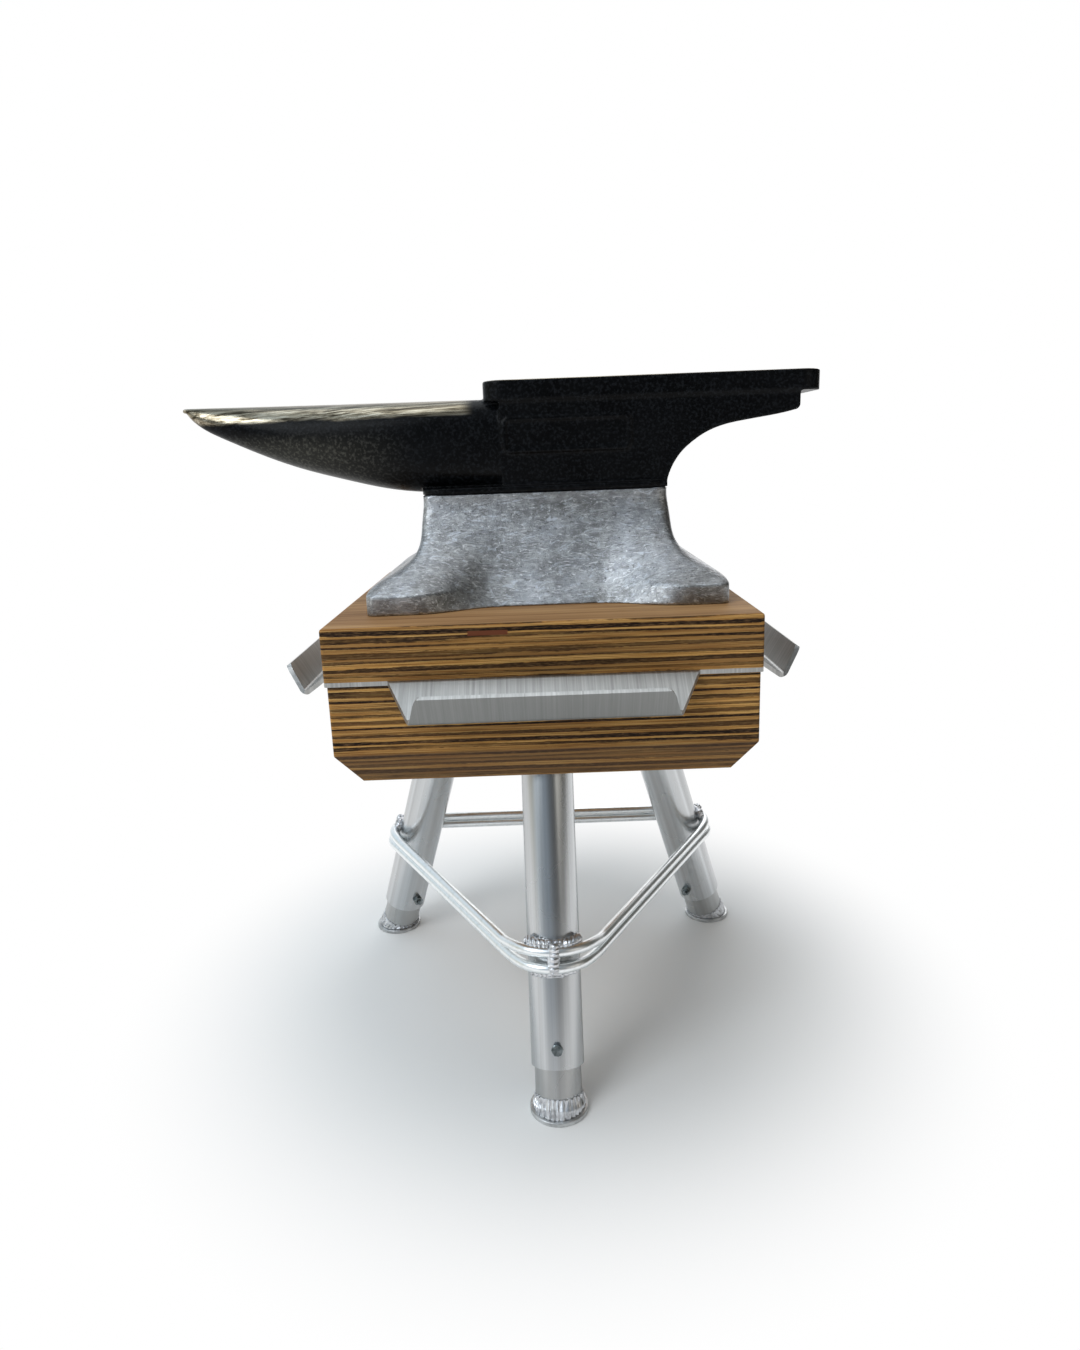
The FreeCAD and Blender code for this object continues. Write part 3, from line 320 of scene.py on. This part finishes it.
def plywood():
    """Thick plywood: plies and one reddish plug on the edges, a duller bevel, veneer on the faces."""
    wood = Graph("plywood")
    x, y, z = wood.split(wood.coords)
    count = ply_count(wood, z)
    index = wood.math("FLOOR", count)
    odd = wood.math("PINGPONG", index, 1.0)
    streak = wood.grain((10, 10, 1500), detail=6, rough=0.66)
    colour = ply_colour(wood, count, index, odd, streak)
    plug = repair_plug(wood, x, y, z)
    colour = wood.mix(plug, colour, wood.mix(streak, PLUG_DARK, PLUG_PALE))
    # the bevel cuts the plies at a slant
    slant = wood.math("LESS_THAN", wood.upward(), -0.2)
    colour = wood.mix(wood.times(slant, 0.45), colour, BEVEL_WOOD)
    # the veneer's grain runs along X
    grain = wood.grain((6, 130, 130), detail=5, rough=0.6, warp=0.4)
    bands = wood.grain((2.2, 22, 22), detail=3, rough=0.5, warp=1.2)
    flat = wood.fade(wood.math("ABSOLUTE", wood.upward()), (0.86, 0.97))
    colour = wood.mix(flat, colour, wood.ramp(wood.weigh(grain, bands, share=0.5), VENEER_TONES))
    relief = wood.plus(wood.times(streak, 0.6), wood.times(odd, -0.25))
    relief = wood.mix(flat, relief, grain)
    return wood.finish(Base_Color=colour, Roughness=0.62, Specular_IOR_Level=0.12,
                       Normal=wood.bump(relief, strength=0.35, distance=0.4 * MM))


# ------------------------------------------------------------------ tubes, rods, welds and small metal
TUBE_TONES = [(0.3, (0.46, 0.47, 0.475)), (0.5, (0.56, 0.575, 0.585)), (0.7, (0.65, 0.67, 0.685))]
TUBE_SCUFF = (0.42, 0.42, 0.41)
TUBE_INSIDE = (0.36, 0.36, 0.35)
MIDDLE_OF_WALL = 23.5 * MM                  # a radius inside the outer tube's wall
ROD_TONES = [(0.3, (0.82, 0.85, 0.85)), (0.5, (0.93, 0.96, 0.97)), (0.75, (0.96, 0.98, 0.98))]
WELD_TONES = [(0.3, (0.4, 0.4, 0.41)), (0.45, (0.7, 0.71, 0.73)), (0.64, (0.88, 0.89, 0.92))]
FOOT_TONES = [(0.35, (0.42, 0.42, 0.42)), (0.6, (0.66, 0.67, 0.67))]
ZINC_TONES = [(0.35, (0.12, 0.145, 0.15)), (0.6, (0.3, 0.33, 0.34))]


def on_leg(tube):
    """Coordinates along the nearest leg: X outwards, Y sideways, Z up the tube."""
    x, y, z = tube.split(tube.coords)
    places = []
    for name in LEG_NAMES:
        rows = LEGS[name].inverted()[:3]
        places.append(tube.join(*(
            tube.plus(tube.plus(tube.times(x, row[0]), tube.times(y, row[1])),
                      tube.plus(tube.times(z, row[2]), row[3])) for row in rows)))
    front, left, right = places
    # no leg crosses the upright planes through the stand's axis, so the side tells the leg
    behind = tube.math("GREATER_THAN", y, AXIS.y)
    rightward = tube.math("GREATER_THAN", x, AXIS.x)
    return tube.mix(behind, front, tube.mix(rightward, left, right))


def drawn_tube():
    """Extruded tube: soft lines along the leg. The inner tube and the bores are duller."""
    tube = Graph("drawn_tube")
    tube.coords = on_leg(tube)
    lines = tube.grain((900, 900, 4), detail=4, rough=0.65)
    bands = tube.grain((150, 150, 0.7), detail=3, rough=0.55)
    cloud = tube.grain((12, 12, 8), detail=3, rough=0.55)
    scuff = tube.grain((70, 70, 18), detail=5, rough=0.7, warp=0.6)
    colour = tube.stain(tube.ramp(bands, TUBE_TONES), TUBE_SCUFF, scuff, across=(0.62, 0.78), most=0.3)
    x, y = tube.split(tube.coords)[:2]
    radius = tube.math("SQRT", tube.plus(tube.times(x, x), tube.times(y, y)))
    inside = tube.math("LESS_THAN", radius, MIDDLE_OF_WALL)
    colour = tube.mix(tube.times(inside, 0.6), colour, TUBE_INSIDE)
    return tube.finish(Base_Color=colour, Metallic=1.0, Roughness=tube.uneven(0.22, cloud, share=0.12),
                       Normal=tube.bump(lines, strength=0.12, distance=0.06 * MM))


def bright_rod():
    """Drawn rod with a satin shine."""
    rod = Graph("bright_rod")
    cloud = rod.noise(40, detail=3)
    scuff = rod.noise(170, detail=4, rough=0.6)
    return rod.finish(Base_Color=rod.ramp(scuff, ROD_TONES), Metallic=1.0,
                      Roughness=rod.uneven(0.27, cloud, share=0.14),
                      Normal=rod.bump(scuff, strength=0.05, distance=0.15 * MM))


def weld_bead():
    """Bright weld metal with sooty patches."""
    weld = Graph("weld_bead")
    soot = weld.noise(150, detail=4, rough=0.65)
    grit = weld.noise(900, detail=3, rough=0.6)
    return weld.finish(Base_Color=weld.ramp(soot, WELD_TONES), Metallic=1.0,
                       Roughness=weld.uneven(0.24, soot, share=0.2),
                       Normal=weld.bump(grit, strength=0.15, distance=0.25 * MM))


def foot_plate():
    """Dull cut plate of the foot discs."""
    foot = Graph("foot_plate")
    cloud = foot.noise(90, detail=4, rough=0.6)
    return foot.finish(Base_Color=foot.ramp(cloud, FOOT_TONES), Metallic=1.0, Roughness=0.42,
                       Normal=foot.bump(cloud, strength=0.2, distance=0.3 * MM))


def zinc_fastener():
    """Zinc plated bolts, nuts, screws and washers."""
    zinc = Graph("zinc_fastener")
    cloud = zinc.noise(260, detail=3)
    return zinc.finish(Base_Color=zinc.ramp(cloud, ZINC_TONES), Metallic=1.0, Roughness=0.24,
                       Normal=zinc.bump(cloud, strength=0.15, distance=0.2 * MM))


# ------------------------------------------------------------------ tray sheet
SHEET_TONES = [(0.3, (0.3, 0.3, 0.29)), (0.5, (0.4, 0.4, 0.39)), (0.72, (0.51, 0.51, 0.5))]
PALE_SHEET = (0.46, 0.46, 0.455)
# painted shade for the sheet's faces that look down
SHEET_PAINTED_SHADE = (0.2, 0.205, 0.2)


def brushed_sheet():
    """Tray sheet, brushed so that on each of its arms the lines run out from the block."""
    sheet = Graph("brushed_sheet")
    x, y, z = sheet.split(sheet.coords)
    beside = sheet.math("ABSOLUTE", sheet.minus(x, AXIS.x))
    before = sheet.math("ABSOLUTE", sheet.minus(y, AXIS.y))
    side_arm = sheet.math("GREATER_THAN", beside, before)
    along = sheet.choose(side_arm, x, y)
    out = sheet.choose(side_arm, y, x)
    fine = sheet.join(sheet.times(along, 620.0), sheet.times(out, 9.0), sheet.times(z, 9.0))
    lines = sheet.noise(1.0, detail=4, rough=0.6, vector=fine)
    coarse = sheet.join(sheet.times(along, 110.0), 0.0, sheet.times(z, 30.0))
    wide = sheet.noise(1.0, detail=3, vector=coarse)
    cloud = sheet.noise(20, detail=4, rough=0.6)
    colour = sheet.stain(sheet.ramp(lines, SHEET_TONES), PALE_SHEET, wide, across=(0.45, 0.7), most=0.3)
    # painted shade: a face that looks down, such as the outer side of a lip, is painted darker
    under = sheet.fade(sheet.upward(), (-0.25, -0.5))
    colour = sheet.mix(sheet.times(under, 0.72), colour, SHEET_PAINTED_SHADE)
    return sheet.finish(Base_Color=colour, Metallic=1.0, Roughness=sheet.uneven(0.34, cloud, share=0.16),
                        Normal=sheet.bump(lines, strength=0.12, distance=0.12 * MM))


# ------------------------------------------------------------------ the anvil's castings
ALLOY_TONES = [(0.3, (0.2, 0.198, 0.19)), (0.5, (0.28, 0.283, 0.288)), (0.7, (0.4, 0.414, 0.445))]
ALLOY_BLOTCH = (0.62, 0.63, 0.64)
ALLOY_BRIGHT_SCRATCH = (0.85, 0.86, 0.87)
ALLOY_DARK_SCRATCH = (0.13, 0.125, 0.12)
ALLOY_SMEAR = (0.66, 0.7, 0.76)
ALLOY_RUB = (0.17, 0.165, 0.155)
ALLOY_PIT = (0.06, 0.06, 0.06)
IRON_TONES = [(0.35, (0.0012, 0.0013, 0.0016)), (0.7, (0.004, 0.0043, 0.005))]
# painted highlights, as paler specks on the sand grain
IRON_PAINTED_GLINT = (0.011, 0.012, 0.014)
# painted reflection of warm light under the horn's tip: in specks, and the next colour over all
PAINTED_REFLECTION_SPECK = (0.11, 0.103, 0.085)
PAINTED_REFLECTION_TINT = (0.06, 0.057, 0.047)
STEEL_TONES = [(0.4, (0.045, 0.036, 0.022)), (0.5, (0.25, 0.212, 0.15)), (0.62, (0.5, 0.455, 0.36))]
STEEL_ROUGHNESS = 0.24
HORN_TIP = (AXIS.x - 250 * MM, AXIS.x - 110 * MM)            # the painted reflection fades from the first x to the second
HORN_UNDER = (BLOCK_TOP + 172 * MM, BLOCK_TOP + 150 * MM)    # and grows from the first height to the second
HORN_TOP = (BLOCK_TOP + 178 * MM, BLOCK_TOP + 183 * MM)      # the ground band begins between these heights
HORN_ROOT = (AXIS.x - 74 * MM, AXIS.x - 58 * MM)             # and fades out between these x
BAND_WANDER = 7 * MM
FACE_EDGE = (ANVIL_FACE - 0.9 * MM, ANVIL_FACE - 0.3 * MM)


def cast_aluminium():
    """Sand casting with blotches, scratches at two slants, smears, rubbed places and pits."""
    alloy = Graph("cast_aluminium")
    sand = alloy.noise(700, detail=4, rough=0.65)
    lumps = alloy.noise(75, detail=3, rough=0.55)
    cloud = alloy.noise(17, detail=4, rough=0.55, warp=0.4)
    blotch = alloy.noise(70, detail=6, rough=0.72, warp=0.8)
    bright = alloy.grain((55, 160, 170), detail=7, rough=0.78, warp=2.6, turn=(0, 0.35, 0.1))
    dark = alloy.grain((60, 240, 210), detail=6, rough=0.74, warp=2.8, turn=(0, -0.7, 0.3))
    smear = alloy.grain((30, 75, 80), detail=9, rough=0.8, warp=3.2, turn=(0, 0.45, 0.2))
    rub = alloy.grain((45, 95, 60), detail=9, rough=0.8, warp=2.6, turn=(0, -0.9, 0.4))
    pits = alloy.fade(alloy.cells(85), (0.06, 0.1), to=(0.6, 0.0))
    colour = alloy.stain(alloy.ramp(cloud, ALLOY_TONES), ALLOY_BLOTCH, blotch, across=(0.4, 0.66), most=0.5)
    colour = alloy.stain(colour, ALLOY_BRIGHT_SCRATCH, bright, across=(0.53, 0.62), most=0.75)
    colour = alloy.stain(colour, ALLOY_DARK_SCRATCH, dark, across=(0.54, 0.63), most=0.7)
    colour = alloy.stain(colour, ALLOY_SMEAR, smear, across=(0.54, 0.6), most=0.65)
    colour = alloy.stain(colour, ALLOY_RUB, rub, across=(0.55, 0.62), most=0.6)
    colour = alloy.mix(pits, colour, ALLOY_PIT)
    normal = alloy.bump(sand, strength=0.6, distance=0.6 * MM)
    normal = alloy.bump(lumps, strength=0.25, distance=1.2 * MM, normal=normal)
    normal = alloy.bump(alloy.minus(bright, dark), strength=0.4, distance=0.6 * MM, normal=normal)
    return alloy.finish(Base_Color=colour, Metallic=1.0, Roughness=alloy.uneven(0.28, blotch, share=0.16),
                        Normal=normal)


def ground_places(iron, x, z):
    """1 on the horn's top and on the face, which are ground bright, 0 elsewhere."""
    level = iron.wander(z, BAND_WANDER, (22, 22, 60), detail=4)
    horn = iron.times(iron.fade(level, HORN_TOP), iron.fade(x, HORN_ROOT, to=(1.0, 0.0)))
    return iron.math("MAXIMUM", horn, iron.fade(z, FACE_EDGE))


def black_iron():
    """Satin black coated casting, with the horn's top and the face ground bright."""
    iron = Graph("black_iron")
    x, y, z = iron.split(iron.coords)
    sand = iron.noise(360, detail=4, rough=0.6)
    lumps = iron.noise(60, detail=3, rough=0.55)
    cloud = iron.noise(22, detail=4, rough=0.6)
    strokes = iron.grain((7, 330, 330), detail=5, rough=0.7)
    # painted highlights: the sand grain shows as paler specks, which turn tan under the tip of the horn as a
    # painted reflection
    painted_reflection_share = iron.times(iron.fade(x, HORN_TIP, to=(1.0, 0.0)), iron.fade(z, HORN_UNDER))
    specks = iron.mix(painted_reflection_share, IRON_PAINTED_GLINT, PAINTED_REFLECTION_SPECK)
    colour = iron.stain(iron.ramp(cloud, IRON_TONES), specks, sand, across=(0.47, 0.64))
    # painted reflection: a tan tint under the tip of the horn
    colour = iron.mix(iron.times(painted_reflection_share, 0.5), colour, PAINTED_REFLECTION_TINT)
    rough = iron.uneven(0.24, lumps, share=0.12)
    normal = iron.bump(sand, strength=0.4, distance=0.6 * MM)
    normal = iron.bump(lumps, strength=0.12, distance=0.6 * MM, normal=normal)
    ground = ground_places(iron, x, z)
    colour = iron.mix(ground, colour, iron.ramp(strokes, STEEL_TONES))
    rough = iron.uneven(iron.times(rough, iron.minus(1.0, ground)), ground, STEEL_ROUGHNESS)
    normal = iron.mix(ground, normal, iron.bump(strokes, strength=0.08, distance=0.1 * MM))
    return iron.finish(Base_Color=colour, Metallic=ground, Roughness=rough, Normal=normal,
                       Specular_IOR_Level=0.08)


MATERIALS = {write.__name__: write() for write in (
    plywood, drawn_tube, bright_rod, weld_bead, foot_plate, zinc_fastener, brushed_sheet, cast_aluminium,
    black_iron)}


# ------------------------------------------------------------------ finer copies of the CAD pieces
MERGE = 0.01 * MM                           # corners closer than this become one
BEVEL_ANGLE = math.radians(30)              # edges sharper than this are rounded
ON_WALL = 0.98                              # cosine above which a face lies on a tube's round wall
LUMPS_PER_METRE = 130.0
RIPPLE_STRAY = 0.15                         # in pitches: how far the ripples stray from an even run
RIPPLE_WAVES = 7                            # strays in one turn round a leg
RIPPLE_START = 1.3                          # radians
RIPPLE_HOLLOW = 1.7                         # power of a ripple's curve from its dent up to its crest
RIPPLE_CREST = 0.85                         # in pitches: where a ripple is highest
RIPPLE_FALL = 0.25                          # in depths: how far it falls again after the crest
RIPPLE_ON_ENDS = 0.3                        # share of the ripple on a face that looks along the leg


def clean_mesh(mesh, angle):
    """Merges split corners and sets smooth shading with sharp edges over the given angle."""
    build = bmesh.new()
    build.from_mesh(mesh)
    bmesh.ops.remove_doubles(build, verts=build.verts, dist=MERGE)
    bmesh.ops.recalc_face_normals(build, faces=build.faces)
    for face in build.faces:
        face.smooth = True
    for edge in build.edges:
        if len(edge.link_faces) == 2:
            edge.smooth = edge.calc_face_angle() < math.radians(angle)
    fresh = bpy.data.meshes.new(mesh.name + "_fine")
    build.to_mesh(fresh)
    build.free()
    return fresh


def work_in_modifiers(obj):
    """Gives the object the mesh that its modifiers make, and takes the modifiers off."""
    bpy.context.view_layer.update()
    shown = obj.evaluated_get(bpy.context.evaluated_depsgraph_get())
    mesh = bpy.data.meshes.new_from_object(shown)
    obj.modifiers.clear()
    obj.data = mesh


def link(name, data):
    obj = bpy.data.objects.new(name, data)
    bpy.context.scene.collection.objects.link(obj)
    return obj


def paint(obj, slot):
    obj.data.materials.clear()
    obj.data.materials.append(MATERIALS[slot])


def dress(obj, node, *others):
    """Gives a finer piece its material and body, and lets it stand for its CAD node."""
    slot = SLOT_OF[node]
    paint(obj, slot)
    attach(obj, NODES[node]["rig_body"])
    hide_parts(node, *others)


def fine_copy(node, angle=35, bevel=0.0, voxel=0.0, smooth=0):
    """A copy of a CAD node, with small bevels, or remeshed in fine cells as castings and beads are."""
    obj = link("fine_" + node, clean_mesh(NODES[node].data, angle))
    if bevel:
        step = obj.modifiers.new("edges", "BEVEL")
        step.width = bevel
        step.segments = 2
        step.limit_method = "ANGLE"
        step.angle_limit = BEVEL_ANGLE
        step.use_clamp_overlap = True
        work_in_modifiers(obj)
    if voxel:
        step = obj.modifiers.new("voxel", "REMESH")
        step.mode = "VOXEL"
        step.voxel_size = voxel
        step.use_smooth_shade = True
        step = obj.modifiers.new("smooth", "SMOOTH")
        step.factor = 0.5
        step.iterations = smooth
        work_in_modifiers(obj)
        obj.data.shade_smooth()
    return obj


def round_tube(obj, leg):
    """Gives the round faces of a leg's tube the exact normals of a cylinder."""
    inward = LEGS[leg].inverted()
    turn = LEGS[leg].to_3x3()
    mesh = obj.data
    normals = [Vector(corner.vector) for corner in mesh.corner_normals]
    for face in mesh.polygons:
        facing = inward.to_3x3() @ face.normal
        for corner in face.loop_indices:
            place = inward @ mesh.vertices[mesh.loops[corner].vertex_index].co
            radial = Vector((place.x, place.y, 0)).normalized()
            if abs(radial.dot(facing)) > ON_WALL:
                normals[corner] = turn @ (radial if radial.dot(facing) > 0 else -radial)
    mesh.normals_split_custom_set(normals)
    return obj


def move_corners(obj, length):
    """Moves each corner of a mesh along its normal, by the length that is worked out for it."""
    mesh = obj.data
    places = [vertex.co + Vector(vertex.normal) * length(vertex) for vertex in mesh.vertices]
    for vertex, place in zip(mesh.vertices, places):
        vertex.co = place
    mesh.update()
    return obj


def swell(obj, amount, lump):
    """Makes a weld bead fatter, with uneven lumps."""
    return move_corners(obj, lambda vertex: amount + lump * noise.noise(vertex.co * LUMPS_PER_METRE))


def ripple(obj, pitch, depth, tie=0.0):
    """Presses the scale-like ripples of a welding run into the beads round the legs.

    Less than a tie to either side of a leg's middle, the run goes along the leg and not round it.
    """
    inward = {name: LEGS[name].inverted() for name in LEG_NAMES}
    feet = {name: foot_centre(name) for name in LEG_NAMES}

    def length(vertex):
        name = min(LEG_NAMES, key=lambda leg: (vertex.co - feet[leg]).length)
        place = inward[name] @ vertex.co
        normal = inward[name].to_3x3() @ Vector(vertex.normal)
        angle = math.atan2(place.y, place.x)
        run = place.z if abs(place.y) < tie else angle * math.hypot(place.x, place.y)
        phase = (run / pitch + RIPPLE_STRAY * math.sin(angle * RIPPLE_WAVES + RIPPLE_START)) % 1.0
        after_crest = max(0.0, phase - RIPPLE_CREST) / (1 - RIPPLE_CREST)
        dent = (1 - phase) ** RIPPLE_HOLLOW + RIPPLE_FALL * after_crest
        outwards = abs(normal.x * math.cos(angle) + normal.y * math.sin(angle))
        return -depth * dent * min(1.0, RIPPLE_ON_ENDS + outwards)

    return move_corners(obj, length)


def dress_block():
    for node in ("top_board", "middle_board", "bottom_board"):
        dress(fine_copy(node, angle=25), node)
    dress(fine_copy("tray_plate", angle=28, bevel=0.5 * MM), "tray_plate")


def dress_leg(name):
    for tube in ("leg_tube_" + name, "inner_tube_" + name):
        dress(round_tube(fine_copy(tube), name), tube)
    dress(fine_copy("foot_disc_" + name), "foot_disc_" + name)
    bead = fine_copy("foot_weld_" + name, voxel=0.55 * MM, smooth=2)
    dress(ripple(bead, pitch=5.2 * MM, depth=1.9 * MM), "foot_weld_" + name)


def dress_ring_and_bolts():
    for node in ("ring_rod_upper", "ring_rod_lower", "lock_bolts", "lock_nuts"):
        dress(fine_copy(node), node)
    beads = swell(fine_copy("ring_welds", voxel=0.45 * MM, smooth=2), amount=1.6 * MM, lump=1.3 * MM)
    dress(ripple(beads, pitch=4.4 * MM, depth=1.7 * MM, tie=6 * MM), "ring_welds")


def dress_anvil():
    dress(fine_copy("anvil_base", voxel=1.3 * MM, smooth=6), "anvil_base")
    dress(fine_copy("anvil_top", voxel=1.2 * MM, smooth=3), "anvil_top")


# ------------------------------------------------------------------ floor and surroundings
WHITE = (1, 1, 1, 1)
FLOOR_PAINT = (0.95, 0.94, 0.92, 1)
FLOOR_RADIUS = 6.0
FLOOR_SIDES = 96
FLOOR_FADE = (0.2, 0.5)                     # distances from the axis between which paint turns to white
BACKDROP = (0.55, 0.95)                     # how far a ray has to point backwards to meet the backdrop
# light of the surroundings from left to right, from below to above and from front to back
ACROSS_TONES = [(0.0, (0.66, 0.62, 0.46)), (0.08, (0.84, 0.94, 1.0)), (0.36, (0.7, 0.85, 1.0)),
                (0.5, (0.55, 0.61, 0.66)), (0.66, (0.16, 0.17, 0.18)), (1.0, (0.07, 0.065, 0.045))]
UPWARD_TONES = [(0.0, (0.75, 0.75, 0.75)), (0.3, (0.8, 0.82, 0.85)), (1.0, (1.0, 1.0, 1.0))]
BACKWARD_TONES = [(0.0, (0.34, 0.34, 0.34)), (0.2, (0.6, 0.6, 0.6)), (0.5, (1.0, 1.0, 1.0)),
                  (1.0, (0.8, 0.79, 0.76))]


def add_floor():
    """A pale floor that keeps the object's shadow and turns into the white backdrop round it."""
    bpy.ops.mesh.primitive_circle_add(vertices=FLOOR_SIDES, radius=FLOOR_RADIUS, fill_type="NGON",
                                      location=(AXIS.x, AXIS.y, 0))
    floor = bpy.context.object
    floor.name = "floor"
    material = bpy.data.materials.new("floor")
    tree = Tree(material, "ShaderNodeOutputMaterial")
    distance = tree.node("ShaderNodeVectorMath", {0: tree.coords}, operation="LENGTH").outputs["Value"]
    share = tree.times(tree.fade(distance, FLOOR_FADE), tree.seen_directly())
    diffuse = tree.node("ShaderNodeBsdfDiffuse", {0: FLOOR_PAINT}).outputs[0]
    tree.show(share, diffuse, tree.glow("ShaderNodeEmission", WHITE))
    floor.data.materials.append(material)


def add_world():
    """Soft surroundings, bright and cool on the left and dim on the right, and a white backdrop."""
    world = bpy.data.worlds.new("studio")
    bpy.context.scene.world = world
    tree = Tree(world, "ShaderNodeOutputWorld", "Generated")
    x, y, z = tree.split(tree.coords)
    across = tree.ramp(tree.fade(x, (-1, 1), shape="LINEAR"), ACROSS_TONES)
    upward = tree.ramp(tree.fade(z, (-0.2, 1), shape="LINEAR"), UPWARD_TONES)
    backward = tree.ramp(tree.fade(y, (-1, 1), shape="LINEAR"), BACKWARD_TONES)
    mood = tree.mix(1.0, tree.mix(1.0, across, upward, "MULTIPLY"), backward, "MULTIPLY")
    # the camera sees the backdrop all round, and mirrors and glass see it behind the object
    mirrored = tree.times(tree.fade(y, BACKDROP), tree.seen_directly())
    from_camera = tree.node("ShaderNodeLightPath").outputs["Is Camera Ray"]
    share = tree.math("MAXIMUM", from_camera, mirrored)
    tree.show(share, tree.glow("ShaderNodeBackground", mood), tree.glow("ShaderNodeBackground", WHITE))


# ------------------------------------------------------------------ lamps
AIM = (AXIS.x, AXIS.y, 0.42)
# name, place, width, height, power in watts, colour
LAMPS = (
    ("key", (-1.5, -1.5, 1.9), 1.2, 1.6, 24, (0.93, 0.97, 1.0)),
    ("fill", (1.9, -1.7, 1.3), 1.4, 1.4, 5, (1.0, 0.95, 0.86)),
    ("top", (0.0, 0.3, 2.4), 1.6, 1.6, 11, (0.97, 0.99, 1.0)),
    ("back", (0.6, 2.0, 1.5), 1.4, 1.4, 7, (0.97, 0.98, 1.0)),
)


def add_lamp(name, place, width, height, power, colour):
    data = bpy.data.lights.new(name, "AREA")
    data.shape = "RECTANGLE"
    data.size = width
    data.size_y = height
    data.energy = power
    data.color = colour
    obj = link(name, data)
    obj.location = place
    obj.rotation_euler = (Vector(AIM) - Vector(place)).to_track_quat("-Z", "Y").to_euler()


# ------------------------------------------------------------------ camera
CAMERA_PLACE = Vector((0.75 * MM, -949.9 * MM, 597.8 * MM))   # from the stand's axis and the floor
CAMERA_YAW = -0.005
CAMERA_PITCH = 0.245                        # downwards
CAMERA_ROLL = -0.038
CAMERA_FOCAL = 892.75                       # in pixels of the picture
PICTURE_HEIGHT = 1350                       # its longer side, which the sensor's width spans
SENSOR_WIDTH = 36.0
NEAREST = 0.02


def add_camera():
    data = bpy.data.cameras.new("camera")
    data.sensor_width = SENSOR_WIDTH
    data.lens = CAMERA_FOCAL * SENSOR_WIDTH / PICTURE_HEIGHT
    data.clip_start = NEAREST
    obj = link("camera", data)
    ahead = Vector((math.sin(CAMERA_YAW) * math.cos(CAMERA_PITCH),
                    math.cos(CAMERA_YAW) * math.cos(CAMERA_PITCH),
                    -math.sin(CAMERA_PITCH)))
    right = Vector((math.cos(CAMERA_YAW), -math.sin(CAMERA_YAW), 0))
    above = right.cross(ahead)
    tilted_right = right * math.cos(CAMERA_ROLL) + above * math.sin(CAMERA_ROLL)
    tilted_up = above * math.cos(CAMERA_ROLL) - right * math.sin(CAMERA_ROLL)
    pose = Matrix((tilted_right, tilted_up, -ahead)).transposed().to_4x4()
    pose.translation = CAMERA_PLACE + Vector((AXIS.x, AXIS.y, 0))
    obj.matrix_world = pose
    bpy.context.scene.camera = obj


# ------------------------------------------------------------------ the scene
dress_block()
for leg_name in LEG_NAMES:
    dress_leg(leg_name)
dress_ring_and_bolts()
dress_anvil()
for node_name, cad_piece in NODES.items():
    paint(cad_piece, SLOT_OF[node_name])

add_floor()
add_world()
for lamp in LAMPS:
    add_lamp(*lamp)
add_camera()
bpy.context.scene.view_settings.view_transform = "Standard"
